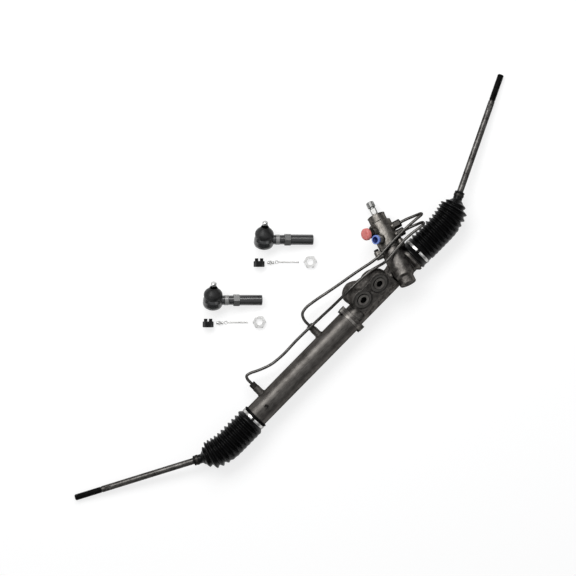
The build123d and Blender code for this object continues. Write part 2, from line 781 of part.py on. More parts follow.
def return_fitting():
    station, turn, reach = RETURN_PORT
    start = RETURN_BOSS_REACH
    end = reach - CAP_WALL
    place = tower_port(station, turn)
    neck = start + RETURN_HEX_HEIGHT
    body = turned(place, [
        (start, RETURN_BORE_R), (start, RETURN_HEX_AF / 2 - 1), (neck, RETURN_HEX_AF / 2 - 1),
        (neck, RETURN_FITTING_R), (end - 1, RETURN_FITTING_R), (end, RETURN_FITTING_R - 1),
        (end, RETURN_BORE_R),
    ])
    hexagon = hex_bar(place, RETURN_HEX_AF, start, start + RETURN_HEX_HEIGHT)
    return body + (hexagon - rod(place, RETURN_BORE_R, start - 1, start + RETURN_HEX_HEIGHT + 1))


def return_cap():
    station, turn, reach = RETURN_PORT
    inner = RETURN_FITTING_R + RUN_FIT
    outer = inner + CAP_WALL
    start = reach - RETURN_CAP_LENGTH
    floor = reach - CAP_WALL
    return turned(tower_port(station, turn), [
        (start, inner), (start, outer), (reach - 1.5, outer), (reach, outer - 2),
        (reach, 0), (floor, 0), (floor, inner),
    ])


def pressure_fitting():
    station, turn, reach = PRESSURE_PORT
    start = PRESSURE_BOSS_REACH
    end = reach - PRESSURE_CAP_FLANGE
    place = tower_port(station, turn)
    return hex_nut(place, PRESSURE_FITTING_AF, PRESSURE_BORE_R, start, end, turn=30)


def pressure_cap():
    station, turn, reach = PRESSURE_PORT
    flange = reach - PRESSURE_CAP_FLANGE
    stem_r = PRESSURE_BORE_R - RUN_FIT
    start = flange - PRESSURE_CAP_STEM
    return turned(tower_port(station, turn), [
        (start, 0), (start, stem_r), (flange, stem_r), (flange, PRESSURE_CAP_R),
        (reach - 1, PRESSURE_CAP_R), (reach, PRESSURE_CAP_R - 1), (reach, CAP_HOLLOW_R),
        (start + 2, CAP_HOLLOW_R), (start + 2, 0),
    ])


# Cast rack housing

def lug_frame(number):
    """Frame of a mounting bush: X along the rack, Z out of the bush's front face."""
    origin = Vector(LUG_X + number * LUG_SPACING, 0, 0) + ACROSS_DIR * LUG_OFFSET
    return Plane(origin=origin, x_dir=(1, 0, 0), z_dir=BUSH_DIR)


def lug():
    """The two bush bosses, with their casting draft, and the wedge that joins them to the barrel."""
    base = Plane(origin=(0, 0, 0), x_dir=(1, 0, 0), z_dir=BUSH_DIR)
    right_x = LUG_X + LUG_SPACING
    deep = LUG_DEPTH_LEFT - LUG_FRONT
    waist = LUG_BOSS_R * 0.86
    web = make_face(Polyline(
        (LUG_X - LUG_WEB, LUG_OFFSET), (LUG_X - LUG_WEB, 0), (right_x + LUG_BOSS_R + 6, 0),
        (right_x + LUG_BOSS_R, LUG_OFFSET), (right_x, LUG_OFFSET + waist),
        (LUG_X, LUG_OFFSET + waist), close=True,
    ))
    block = base * (Pos(0, 0, -deep) * extrude(web, LUG_DEPTH_LEFT))
    for number in (0, 1):
        block += turned(lug_frame(number), [
            (-deep, 0), (-deep, LUG_BACK_R), (LUG_FRONT, LUG_BOSS_R), (LUG_FRONT, 0),
        ])
    reach = LUG_OFFSET + LUG_BACK_R + 1
    front_edge = ACROSS_DIR * (LUG_OFFSET - LUG_BOSS_R) + BUSH_DIR * LUG_FRONT
    far_top = ACROSS_DIR * reach + BUSH_DIR * LUG_FRONT
    far_low = ACROSS_DIR * reach - BUSH_DIR * (deep + 1)
    section = Polyline(
        (-BARREL_R * 0.93, BARREL_R * 0.36), (front_edge.Y, front_edge.Z),
        (far_top.Y, far_top.Z), (far_low.Y, far_low.Z), (BARREL_R * 0.7, -BARREL_R * 0.7),
        (-BARREL_R * 0.5, 0), close=True,
    )
    start = LUG_X - LUG_BACK_R - 2
    length = LUG_SPACING + 2 * LUG_BACK_R + 6
    wedge = RACK * (Pos(0, 0, start) * extrude(make_face(section), length))
    block = block & wedge
    slope = degrees(atan((LUG_DEPTH_LEFT - LUG_DEPTH_RIGHT) / LUG_SPACING))
    hinge = lug_frame(0).origin - BUSH_DIR * deep
    room = 4 * reach
    undercut = Plane(origin=hinge, x_dir=(1, 0, 0), z_dir=BUSH_DIR) * (
        Rot(0, -slope, 0) * Box(room, room, reach, align=(Align.CENTER, Align.CENTER, Align.MAX)))
    return block - undercut


def barrel():
    """Outside of the housing round the rack."""
    bead = NECK_R + 0.9
    return turned(RACK, [
        (JOINT_X, 0), (JOINT_X, BARREL_R), (SHOULDER_X, BARREL_R), (SHOULDER_X + 9, SHOULDER_R),
        (NECK_START_X - 10, SHOULDER_R), (NECK_START_X - 4, NECK_R + 2.6),
        (NECK_START_X, NECK_R + 2.6), (NECK_START_X, NECK_R), (NECK_END_X - 4, NECK_R),
        (NECK_END_X - 3, bead - 0.9), (NECK_END_X, NECK_R - 1), (NECK_END_X, 0),
    ])


def rack_housing():
    body = barrel() + eared_flange(JOINT_X, JOINT_X + JOINT_FLANGE, BARREL_R - 1)
    spigot = JOINT_X - SPIGOT_LENGTH
    body += rod(RACK, TUBE_BORE_R - BORE_GAP, spigot, JOINT_X + 1)
    body += lug()
    body += turned(TOWER, [
        (BOSS_END, 0), (BOSS_END, BOSS_R - 1.5), (BOSS_END + 1.5, BOSS_R), (BOSS_TOP, BOSS_R),
        (BOSS_TOP + 5, PINION_BARREL_R), (SPLIT_T, PINION_BARREL_R), (SPLIT_T, 0),
    ])
    body += flange_ears(SPLIT_T - TOWER_BOLT_DEPTH, SPLIT_T)
    body += turned(YOKE, [
        (0, 0), (0, YOKE_BOSS_R), (YOKE_BOSS_REACH - 1, YOKE_BOSS_R),
        (YOKE_BOSS_REACH, YOKE_BOSS_R - 1), (YOKE_BOSS_REACH, 0),
    ])
    body -= rod(RACK, BARREL_BORE_R, spigot - 1, NECK_END_X + 1)
    body -= rod(RACK, SEAL_R, spigot - 1, spigot + SEAL_WIDTH)
    for number in (0, 1):
        body -= rod(lug_frame(number), BUSH_SHELL_R, -LUG_DEPTH_LEFT, LUG_FRONT + 1)
    body -= rod(TOWER, PINION_TIP_R + CHAMBER_GAP, LOWER_BEARING[1] - 1, UPPER_BEARING[0] + 1)
    body -= rod(TOWER, LOWER_BEARING_R, LOWER_BEARING[0], LOWER_BEARING[1])
    body -= rod(TOWER, LOWER_JOURNAL_R + 4, NUT_START - 1, LOWER_BEARING[0] + 1)
    body -= rod(TOWER, CAP_R, BOSS_END - 1, BOSS_END + CAP_THICK - 1)
    body -= rod(TOWER, UPPER_BEARING_R, UPPER_BEARING[0], SPLIT_T + 1)
    body -= rod(YOKE, YOKE_R + RUN_FIT, 0, YOKE_BOSS_REACH + 1)
    for place in tower_bolt_frames():
        body -= rod(place, TOWER_BOLT_R, SPLIT_T - TOWER_BOLT_DEPTH, SPLIT_T + 1)
    return body


# Mounting bushes

def mount_bush(number, outer, inner, back, front):
    return ring(lug_frame(number), outer, inner, back, front)


def bush_shells():
    front = LUG_FRONT - BUSH_RECESS
    inner = BUSH_SHELL_R - BUSH_SHELL_WALL
    return [mount_bush(n, BUSH_SHELL_R, inner, front - BUSH_HEIGHT, front) for n in (0, 1)]


def bush_rubbers():
    front = LUG_FRONT - BUSH_RECESS - 1
    outer = BUSH_SHELL_R - BUSH_SHELL_WALL
    back = front - BUSH_HEIGHT + 2
    return [mount_bush(n, outer, BUSH_SLEEVE_R, back, front) for n in (0, 1)]


def bush_sleeves():
    front = LUG_FRONT + SLEEVE_PROUD - BUSH_RECESS
    back = front - BUSH_HEIGHT - SLEEVE_PROUD
    return [mount_bush(n, BUSH_SLEEVE_R, MOUNT_BOLT_R, back, front) for n in (0, 1)]


# Yoke

def yoke():
    body = rod(YOKE, YOKE_R, 7.0, YOKE_BACK)
    return body - rod(RACK, RACK_R + RUN_FIT, PINION_X - 40, PINION_X + 40)


def yoke_springs():
    """A pair of disc springs, cupped towards each other."""
    middle = (YOKE_BACK + PLUG_FACE) / 2
    discs = []
    for side in (-1, 1):
        rim = middle
        hub = middle + side * (PLUG_FACE - YOKE_BACK) / 2
        discs.append(turned(YOKE, [
            (rim, YOKE_R - 1), (rim + side * DISC_THICK, YOKE_R - 1),
            (hub, 5), (hub - side * DISC_THICK, 5),
        ]))
    return discs


def yoke_plug():
    plug = rod(YOKE, YOKE_R, PLUG_FACE, PLUG_END)
    return plug - hex_bar(YOKE, PLUG_SOCKET_AF, PLUG_END - 4, PLUG_END + 1)


def yoke_lock_nut():
    return hex_nut(YOKE, YOKE_NUT_AF, YOKE_R, YOKE_BOSS_REACH, PLUG_END - 0.4)


# Ball joints and tie rods

CAVITY_R = BALL_R + SEAT_WALL + 2 * SEAT_GAP


def ball_socket(place):
    lip = CAVITY_R * cos(radians(SOCKET_LIP_ANGLE))
    lip_r = CAVITY_R * sin(radians(SOCKET_LIP_ANGLE)) + SOCKET_LIP_WALL
    body = turned(place, [
        (-SOCKET_BACK - SOCKET_STUD, 0), (-SOCKET_BACK - SOCKET_STUD, SOCKET_STUD_R),
        (-SOCKET_BACK, SOCKET_STUD_R), (-SOCKET_BACK, SOCKET_R - 1.5),
        (1.5 - SOCKET_BACK, SOCKET_R), (-1, SOCKET_R), (lip * 0.75, (SOCKET_R + lip_r) / 2),
        (lip, lip_r), (lip, 0),
    ])
    return body - place * Sphere(CAVITY_R)


def ball_seat(place):
    """Cup behind the ball. It stays inside the socket's lip at both ends of the swing."""
    shell = Sphere(CAVITY_R - SEAT_GAP) - Sphere(BALL_R + SEAT_GAP)
    room = 3 * CAVITY_R
    front = Box(room, room, room, align=(Align.CENTER, Align.CENTER, Align.MIN))
    return place * (shell - Pos(0, 0, -SEAT_RIM) * front)


def tie_rod(place):
    thread_start = ROD_LENGTH - THREAD_LENGTH
    shaft = turned(Plane.XY, [
        (0, 0), (0, ROD_NECK_R), (ROD_NECK_END, ROD_NECK_R), (ROD_NECK_END + 7, ROD_R),
        (SMALL_CUFF[0] - 1, ROD_R), (SMALL_CUFF[0], ROD_GROOVE_R), (SMALL_CUFF[1], ROD_GROOVE_R),
        (SMALL_CUFF[1] + 1, ROD_R), (thread_start - 2, ROD_R), (thread_start - 1, THREAD_R - 0.7),
        (thread_start, THREAD_R - 0.7), (thread_start + 0.7, THREAD_R),
        (ROD_LENGTH - ROD_TIP_EASE, THREAD_R), (ROD_LENGTH, THREAD_R - ROD_TIP_EASE), (ROD_LENGTH, 0),
    ])
    flats = Box(WRENCH_LENGTH, 40, 40) - Box(WRENCH_LENGTH + 1, 40, WRENCH_FLAT)
    middle = WRENCH_START + WRENCH_LENGTH / 2
    shaft -= Pos(0, 0, middle) * (Rot(0, 90, 0) * flats)
    return place * (shaft + Sphere(BALL_R))


# Bellows and clamps

def bellows_path(cuff_end_x, place):
    """Centre line from the large cuff to the small one: straight, then bent onto the tie rod."""
    centre = place.origin
    side = 1 if centre.X > 0 else -1
    bend_start = Vector(centre.X - side * BEND_REACH, 0, 0)
    bend_end = centre + place.z_dir * BEND_REACH
    tangent = Vector(side, 0, 0)
    bend = TangentArc(bend_start, bend_end, tangent=tangent)
    small = centre + place.z_dir * SMALL_CUFF[0]
    return Wire([Line((cuff_end_x, 0, 0), bend_start), bend, Line(bend_end, small)])


def fold_radii(folds):
    """Outer radii of the peaks and valleys, from the large cuff to the small one."""
    radii = [BOOT_VALLEY_R]
    for fold in range(folds):
        left_over = folds - 1 - fold
        share = TAPER_FOLDS[left_over] if left_over < len(TAPER_FOLDS) else 1.0
        next_share = TAPER_FOLDS[left_over - 1] if 0 < left_over <= len(TAPER_FOLDS) else 1.0
        radii += [BOOT_PEAK_R * share, BOOT_VALLEY_R * min(share, next_share)]
    radii[-1] = SMALL_CUFF_R
    return radii


def bellows_skin(path, radii):
    sections = []
    for number, radius in enumerate(radii):
        share = number / (len(radii) - 1)
        place = Plane(origin=path @ share, x_dir=(0, 0, 1), z_dir=path % share)
        sections.append(Wire.make_circle(radius, place))
    return Solid.make_loft(sections, ruled=True)


def plain_cuff(side, cuff_x, wall_x, near_x, seat_r):
    """Cuff with a bead at its lip and a wall that steps down to the first valley."""
    outer = seat_r + CUFF_WALL
    bead_end = cuff_x + side * CUFF_BEAD_WIDTH
    inner = min(seat_r, BOOT_VALLEY_R) - BOOT_WALL
    cuff = ring(RACK, outer, seat_r, *sorted((cuff_x, near_x)))
    cuff += ring(RACK, outer, inner, *sorted((wall_x, near_x)))
    return cuff + ring(RACK, outer + CUFF_BEAD, seat_r, *sorted((cuff_x, bead_end)))


def flared_cuff(side, cuff_x, near_x, seat_r):
    """Cuff that flares past its clamp to a smooth shoulder."""
    outer = seat_r + CUFF_WALL
    flare_x = cuff_x + side * FLARE_START
    return turned(RACK, [
        (cuff_x, seat_r), (cuff_x, outer), (flare_x, outer), (near_x, BOOT_SHOULDER_R),
        (near_x, BOOT_SHOULDER_R - BOOT_WALL), (flare_x + side * BOOT_WALL, seat_r),
    ])


def bellows(place, seat_end_x, cuff_seat, seat_r, folds, flared):
    """Folded sleeve with one cuff on the end of its seat and another on the tie rod."""
    side = 1 if place.origin.X > 0 else -1
    cuff_x = seat_end_x - side * cuff_seat
    wall_x = seat_end_x + side * (SLIDE_GAP / 2)
    near_x = wall_x + side * BOOT_WALL
    path = bellows_path(near_x, place)
    shoulder = [BOOT_SHOULDER_R] if flared else []
    outer_radii = shoulder + fold_radii(folds)
    inner_radii = [radius - BOOT_WALL for radius in outer_radii]
    body = Part() + bellows_skin(path, outer_radii) - bellows_skin(path, inner_radii)
    if flared:
        body += flared_cuff(side, cuff_x, near_x, seat_r)
    else:
        body += plain_cuff(side, cuff_x, wall_x, near_x, seat_r)
    body += turned(place, [
        (SMALL_CUFF[0], ROD_GROOVE_R + SLIDE_GAP), (SMALL_CUFF[0], SMALL_CUFF_R),
        (SMALL_CUFF[1] - 3, SMALL_CUFF_R), (SMALL_CUFF[1] - 1, SMALL_CUFF_R + 0.8),
        (SMALL_CUFF[1], SMALL_CUFF_R), (SMALL_CUFF[1], ROD_GROOVE_R + SLIDE_GAP),
    ])
    return body


def band_clamp(x, seat_r):
    """Large band with its crimped ear on top."""
    half = CLAMP_WIDTH / 2
    band = ring(RACK, seat_r + CLAMP_THICK, seat_r, x - half, x + half)
    length, height = CLAMP_EAR
    ear = Box(CLAMP_WIDTH, length, height, align=(Align.CENTER, Align.CENTER, Align.MIN))
    return band + Pos(x, 0, seat_r + CLAMP_THICK / 2) * ear


def small_clamp(place):
    half = SMALL_CLAMP_WIDTH / 2
    inner = SMALL_CUFF_R
    return ring(place, inner + CLAMP_THICK, inner, SMALL_CLAMP_T - half, SMALL_CLAMP_T + half)


# Transfer tubes

def line_seat(station, turn):
    place = tower_port(station, turn)
    return place.origin + place.z_dir * LINE_BOSS_REACH, place.z_dir


def smooth_route(points):
    """Straight runs joined by arcs as large as the two runs beside each corner allow."""
    radii = []
    for before, corner, after in zip(points, points[1:], points[2:]):
        arrive = corner - before
        leave = after - corner
        turn = radians(arrive.get_angle(leave))
        radii.append(0.45 * min(arrive.length, leave.length) / tan(turn / 2))
    return FilletPolyline(*points, radius=radii)


def transfer_tube(port, cylinder_x, between):
    """Line from a port of the valve housing to a port of the cylinder, straight in its nuts."""
    seat, out = line_seat(*port)
    boss_top = TUBE_R + PORT_BOSS_RISE
    points = [seat, seat + out * (LINE_NUT_LENGTH * 2)] + [Vector(*spot) for spot in between]
    points.append(Vector(cylinder_x, boss_top, 0))
    path = smooth_route(points)
    start = Plane(origin=points[0], z_dir=out)
    return sweep(start * Circle(LINE_R), path)


NEAR_ROUTE = (
    (423, 60, 16), (437, 54, 25), (436, 51, 36), (418, 53, 41),
    (390, 55, 40), (362, 55.5, 37.5), (333, 55, 35), (308, 53, 32), (284, 56, 27),
    (258, 62, 20), (232, 67, 13), (203, 72, 9), (172, 78, 6), (142, 84.5, 3.5), (114, 89, 1.5),
    (97, 86, 0.4), (90, 72, 0),
)
FAR_ROUTE = (
    (413, 43.5, 20), (426, 38, 28), (424, 33, 40), (409, 35, 43.5),
    (387, 38.5, 43), (364, 39.5, 42), (342, 38, 42), (320, 35.5, 43), (304, 35.5, 47),
    (288, 40, 54), (269, 45.5, 59), (241, 47.5, 60.5), (211, 49, 58), (183, 49, 49),
    (152, 49.5, 37), (118, 51, 26), (82, 52.5, 18.5), (44, 53.5, 13), (6, 51.5, 9), (-30, 55, 6),
    (-58, 66, 3.5), (-75, 75, 1.5), (-86, 77.5, 0.4), (-90, 70, 0),
)


def line_nuts():
    nuts = []
    for station, turn in LINE_PORTS:
        place = tower_port(station, turn)
        end = LINE_BOSS_REACH + LINE_NUT_LENGTH
        nuts.append(hex_nut(place, LINE_NUT_AF, LINE_R + BORE_GAP, LINE_BOSS_REACH, end))
    for x in (-PORT_X, PORT_X):
        start = TUBE_R + PORT_BOSS_RISE
        end = start + PORT_NUT_LENGTH
        nuts.append(hex_nut(port_frame(x), PORT_NUT_AF, LINE_R + BORE_GAP, start, end))
    return nuts


# Outer tie rod ends and their loose fastenings

def kit_frame(number):
    """Level frame of one set: X along the shank, Z up, at the height of the rack's axis."""
    x = KIT_ORIGIN[0] + number * KIT_STEP[0]
    y = KIT_ORIGIN[1] + number * KIT_STEP[1]
    along = Vector(cos(radians(KIT_TURN)), sin(radians(KIT_TURN)), 0)
    return Plane(origin=(x, y, -FLOOR_DROP), x_dir=along, z_dir=(0, 0, 1))


def end_body_outline():
    """Outside of the ball housing, from its closed face to the boot's seat."""
    low, high = END_BODY
    return [
        (low, END_BODY_R - 4.5), (low + 3, END_BODY_R - 1.4), (low + 8, END_BODY_R),
        (high - 6, END_BODY_R - 0.4), (high - 3, END_BODY_R - 1.6), (high, END_BODY_R - 3.2),
    ]


def end_frame(number):
    """Frame at the outer ball: Z along the stud, X along the shank, lying on the floor."""
    kit = kit_frame(number)
    lean = radians(STUD_LEAN)
    height = max(radius * sin(lean) - along * cos(lean) for along, radius in end_body_outline())
    droop = asin((height - END_TUBE_R) / END_LENGTH)
    shank = kit.x_dir * cos(droop) - kit.z_dir * sin(droop)
    across = kit.y_dir
    upright = shank.cross(across)
    stud = across * sin(lean) + upright * cos(lean)
    return Plane(origin=kit.origin + kit.z_dir * height, x_dir=shank, z_dir=stud)


def shank_frame(number):
    place = end_frame(number)
    return Plane(origin=place.origin, x_dir=place.z_dir, z_dir=place.x_dir)


def end_socket(number):
    place = end_frame(number)
    shank = shank_frame(number)
    low, high = END_BODY
    lip = (END_BALL_R + BORE_GAP) * cos(radians(END_LIP_ANGLE))
    lip_r = (END_BALL_R + BORE_GAP) * sin(radians(END_LIP_ANGLE))
    body = turned(place, [(low, 0)] + end_body_outline() + [(high, 0)])
    band_start, band_end = END_BAND
    body += turned(shank, [
        (0, 0), (0, END_NECK_R), (band_start - 1, END_NECK_R), (band_start, END_BAND_R),
        (band_end, END_BAND_R), (band_end + 1, END_NECK_R), (END_COLLAR[0], END_NECK_R),
        (END_COLLAR[1], END_TUBE_R), (END_LENGTH - 1, END_TUBE_R), (END_LENGTH, END_TUBE_R - 1),
        (END_LENGTH, 0),
    ])
    body += hex_nut(shank, END_COLLAR_AF, 1, *END_COLLAR)
    body += rod(shank, 1.5, END_COLLAR[0], END_COLLAR[1])
    body -= rod(place, DUST_BELLY_R + DUST_GAP, high, high + END_BODY_R)
    body -= place * Sphere(END_BALL_R + BORE_GAP)
    body -= turned(place, [(lip, 0), (lip, lip_r), (high + 1, lip_r + 3.5), (high + 1, 0)])
    body -= rod(place, END_BALL_R - 2, low - 1, 0)
    thread_start = END_LENGTH - END_THREAD_DEPTH
    return body - rod(shank, END_THREAD_R, thread_start, END_LENGTH + 1)


def end_cover(number):
    low = END_BODY[0]
    return turned(end_frame(number), [
        (low + 0.4, 0), (low + 0.4, END_BALL_R - 2), (low + 1.9, END_BALL_R - 2), (low + 1.9, 0),
    ])


def ball_stud(number):
    taper_start = 17.0
    thread_start = STUD_TIP - STUD_THREAD
    stud = turned(Plane.XY, [
        (0, 0), (0, 6.3), (taper_start - 2, 6.3), (taper_start, STUD_TAPER_R),
        (thread_start, STUD_THREAD_R), (STUD_TIP - 1.5, STUD_THREAD_R),
        (STUD_TIP, STUD_THREAD_R - 1.5), (STUD_TIP, 0),
    ])
    stud += Sphere(END_BALL_R)
    cross_hole = Plane(origin=(0, 0, STUD_TIP - 5), x_dir=(0, 0, 1), z_dir=(1, 0, 0))
    stud -= rod(cross_hole, 1.7, -10, 10)
    return end_frame(number) * stud


def dust_dome(top, mouth_r, belly_r):
    """Side of the dome, from the belly to just below the mouth, as part of an ellipse."""
    belly = END_BODY[1] + DUST_BELLY_RISE
    turns = [radians(15 * step) for step in range(6)]
    return [
        (belly + (top - belly) * sin(turn), mouth_r + (belly_r - mouth_r) * cos(turn))
        for turn in turns
    ]


def dust_boot(number):
    """Domed boot that stands on the ball housing and closes on the stud's taper."""
    base = END_BODY[1]
    mouth = STUD_TAPER_R + SLIDE_GAP
    outside = dust_dome(DUST_TOP, mouth + DUST_WALL, DUST_BELLY_R)
    inside = dust_dome(DUST_TOP - DUST_WALL, mouth, DUST_BELLY_R - DUST_WALL)
    return turned(end_frame(number), [
        (base, DUST_FOOT_R), (base, DUST_FOOT_R + DUST_WALL), (base + 2, DUST_FOOT_R + DUST_WALL + 0.5),
        *outside, (DUST_TOP, mouth + DUST_WALL), (DUST_TOP, mouth), *reversed(inside),
        (base + 2, DUST_FOOT_R + 0.5),
    ])


def castle_nut(number):
    """Lying on one flat, its slots pointing away from the shank."""
    kit = kit_frame(number)
    x, y = CASTLE_SPOT
    spot = kit.origin + kit.x_dir * x + kit.y_dir * (y - CASTLE_HEIGHT / 2)
    spot += kit.z_dir * (CASTLE_AF / 2)
    place = Plane(origin=spot, x_dir=kit.z_dir, z_dir=kit.y_dir)
    crown = CASTLE_HEIGHT - CASTLE_SLOT[1]
    nut = hex_nut(place, CASTLE_AF, STUD_THREAD_R, 0, crown, turn=30)
    nut += ring(place, CASTLE_AF / 2 - 1.2, STUD_THREAD_R, crown, CASTLE_HEIGHT)
    for slot in range(CASTLE_SLOTS // 2):
        cutter = Box(CASTLE_AF * 2, CASTLE_SLOT[0], CASTLE_SLOT[1] + 1)
        lift = crown + (CASTLE_SLOT[1] + 1) / 2
        nut -= place * (Pos(0, 0, lift) * (Rot(0, 0, slot * 60) * cutter))
    return nut


def jam_nut(number):
    kit = kit_frame(number)
    x, y = JAM_SPOT
    place = Plane(origin=kit.origin + kit.x_dir * x + kit.y_dir * y, x_dir=kit.x_dir, z_dir=kit.z_dir)
    return hex_nut(place, JAM_AF, END_THREAD_R, 0, JAM_HEIGHT)


def cotter_pin(number):
    """Two legs side by side, with the eye that joins them."""
    kit = kit_frame(number)
    x, y = COTTER_SPOT
    origin = kit.origin + kit.x_dir * x + kit.y_dir * y + kit.z_dir * COTTER_R
    place = Plane(origin=origin, x_dir=kit.x_dir, z_dir=kit.z_dir)
    legs = None
    for side in (-1, 1):
        apart = side * COTTER_R * 0.9
        leg_frame = Plane(origin=(0, apart, 0), x_dir=(0, 1, 0), z_dir=(1, 0, 0))
        leg = rod(leg_frame, COTTER_R, 0, COTTER_LENGTH)
        legs = leg if legs is None else legs + leg
    eye = Torus(COTTER_EYE_R, COTTER_R)
    return place * (legs + Pos(-COTTER_EYE_R, 0, 0) * eye)


def grease_fitting(number):
    """Lying on its side: threaded stem, hexagon and nipple."""
    kit = kit_frame(number)
    x, y = FITTING_SPOT
    lift = FITTING_R
    origin = kit.origin + kit.x_dir * x + kit.y_dir * y + kit.z_dir * lift
    place = Plane(origin=origin, x_dir=kit.z_dir, z_dir=kit.x_dir)
    tip = FITTING_LENGTH
    body = turned(place, [
        (0, 0), (0, 2.6), (0.5, 3), (5, 3), (5, 2.6), (tip - 5.5, 2.2), (tip - 4.5, 1.9),
        (tip - 3.5, 1.9), (tip - 2.5, 3.2), (tip - 1, 3.2), (tip, 2), (tip, 0),
    ])
    return body + hex_bar(place, 2 * FITTING_R, 5, 9, turn=30)


# Nodes

def make_nodes():
    kits = range(KIT_COUNT)
    near_port, far_port = LINE_PORTS
    nodes = {
        "rack_housing": rack_housing(),
        "cylinder_tube": cylinder_tube(),
        "joint_flange": joint_flange(),
        "joint_bolts": joint_bolts(),
        "end_bushing": end_bushing(),
        "rod_seals": rod_seals(),
        "bush_shells": bush_shells(),
        "bush_rubbers": bush_rubbers(),
        "bush_sleeves": bush_sleeves(),
        "valve_housing": valve_housing(),
        "tower_bolts": tower_bolts(),
        "top_seal": top_seal(),
        "seal_retainer": seal_retainer(),
        "input_bearing": rolling_bearing(INPUT_R + RUN_FIT, TOP_BORE_R, INPUT_BEARING),
        "upper_pinion_bearing": rolling_bearing(
            UPPER_JOURNAL_R + RUN_FIT, UPPER_BEARING_R, UPPER_BEARING),
        "lower_pinion_bearing": rolling_bearing(
            LOWER_JOURNAL_R + RUN_FIT, LOWER_BEARING_R, LOWER_BEARING),
        "bottom_cap": bottom_cap(),
        "yoke": yoke(),
        "yoke_springs": yoke_springs(),
        "yoke_plug": yoke_plug(),
        "yoke_lock_nut": yoke_lock_nut(),
        "return_fitting": return_fitting(),
        "pressure_fitting": pressure_fitting(),
        "near_transfer_tube": transfer_tube(near_port, PORT_X, NEAR_ROUTE),
        "far_transfer_tube": transfer_tube(far_port, -PORT_X, FAR_ROUTE),
        "line_nuts": line_nuts(),
        "left_bellows": bellows(
            LEFT_ROD, TUBE_LEFT_X, LEFT_CUFF_SEAT, TUBE_R, LEFT_FOLDS, flared=True),
        "right_bellows": bellows(
            RIGHT_ROD, NECK_END_X, RIGHT_CUFF_SEAT, NECK_R, RIGHT_FOLDS, flared=False),
        "large_clamps": [
            band_clamp(LEFT_CLAMP_X, TUBE_R + CUFF_WALL),
            band_clamp(RIGHT_CLAMP_X, NECK_R + CUFF_WALL),
        ],
        "rack_bar": rack_bar(),
        "piston": piston(),
        "piston_ring": piston_ring(),
        "left_ball_socket": ball_socket(LEFT_SOCKET),
        "right_ball_socket": ball_socket(RIGHT_SOCKET),
        "pinion": pinion(),
        "pinion_nut": pinion_nut(),
        "valve_sleeve": valve_sleeve(),
        "sleeve_rings": sleeve_rings(),
        "torsion_bar": torsion_bar(),
        "input_shaft": input_shaft(),
        "left_ball_seat": ball_seat(LEFT_ROD),
        "right_ball_seat": ball_seat(RIGHT_ROD),
        "left_tie_rod": tie_rod(LEFT_ROD),
        "right_tie_rod": tie_rod(RIGHT_ROD),
        "left_small_clamp": small_clamp(LEFT_ROD),
        "right_small_clamp": small_clamp(RIGHT_ROD),
        "return_cap": return_cap(),
        "pressure_cap": pressure_cap(),
        "upper_end_socket": end_socket(0),
        "lower_end_socket": end_socket(1),
        "upper_ball_stud": ball_stud(0),
        "lower_ball_stud": ball_stud(1),
        "upper_dust_boot": dust_boot(0),
        "lower_dust_boot": dust_boot(1),
        "end_covers": [end_cover(kit) for kit in kits],
        "castle_nuts": [castle_nut(kit) for kit in kits],
        "cotter_pins": [cotter_pin(kit) for kit in kits],
        "grease_fittings": [grease_fitting(kit) for kit in kits],
        "jam_nuts": [jam_nut(kit) for kit in kits],
    }
    return nodes


def write_node(name, shape):
    solids = shape if isinstance(shape, list) else [shape]
    body = Compound(children=[solid for item in solids for solid in item.solids()])
    export_step(body, os.path.join("parts", name + ".step"))


os.makedirs("parts", exist_ok=True)
for node_name, node_shape in make_nodes().items():
    write_node(node_name, node_shape)
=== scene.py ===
import math

import bpy
import numpy as np
from mathutils import Matrix, Vector


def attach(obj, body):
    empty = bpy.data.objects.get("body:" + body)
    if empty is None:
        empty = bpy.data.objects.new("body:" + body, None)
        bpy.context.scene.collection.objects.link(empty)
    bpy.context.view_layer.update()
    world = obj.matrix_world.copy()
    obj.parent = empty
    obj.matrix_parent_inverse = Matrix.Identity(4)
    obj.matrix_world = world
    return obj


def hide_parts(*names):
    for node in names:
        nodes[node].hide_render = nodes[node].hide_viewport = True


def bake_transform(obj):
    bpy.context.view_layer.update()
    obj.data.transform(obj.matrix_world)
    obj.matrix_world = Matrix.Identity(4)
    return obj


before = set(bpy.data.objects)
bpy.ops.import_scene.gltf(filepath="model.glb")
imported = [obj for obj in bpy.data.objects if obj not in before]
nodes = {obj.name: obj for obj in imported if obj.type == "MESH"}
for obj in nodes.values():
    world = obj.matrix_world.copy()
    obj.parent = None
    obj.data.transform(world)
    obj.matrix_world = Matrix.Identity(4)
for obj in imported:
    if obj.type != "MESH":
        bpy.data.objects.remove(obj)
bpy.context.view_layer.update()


# Places, in metres, that the pieces below are set on

RACK_DIR = Vector((1, 0, 0))
TOWER_AT = Vector((0.3216, 0.004113, 0.016495))
SHAFT_DIR = Vector((0.34202, 0.91178, -0.22733))
RETURN_STATION, PRESSURE_STATION = 0.090, 0.0695
RETURN_AT = TOWER_AT + SHAFT_DIR * RETURN_STATION
RETURN_DIR = Vector((-0.6288, 0.4018, 0.6657))
PRESSURE_AT = TOWER_AT + SHAFT_DIR * PRESSURE_STATION
PRESSURE_DIR = Vector((-0.4412, 0.3694, 0.8179))
BUSH_LEAN = math.radians(37.0)
BUSH_DIR = Vector((0, -math.sin(BUSH_LEAN), math.cos(BUSH_LEAN)))
BUSH_OFFSET = 0.040
BUSH_AT = {
    side: Vector((x, BUSH_OFFSET * math.cos(BUSH_LEAN), BUSH_OFFSET * math.sin(BUSH_LEAN)))
    for side, x in (("left", 0.2125), ("right", 0.2622))
}
SHANK_DIR = Vector((0.6961, -0.7084, -0.1168))
STUD_DIR = Vector((0.6312, 0.5264, 0.5697))
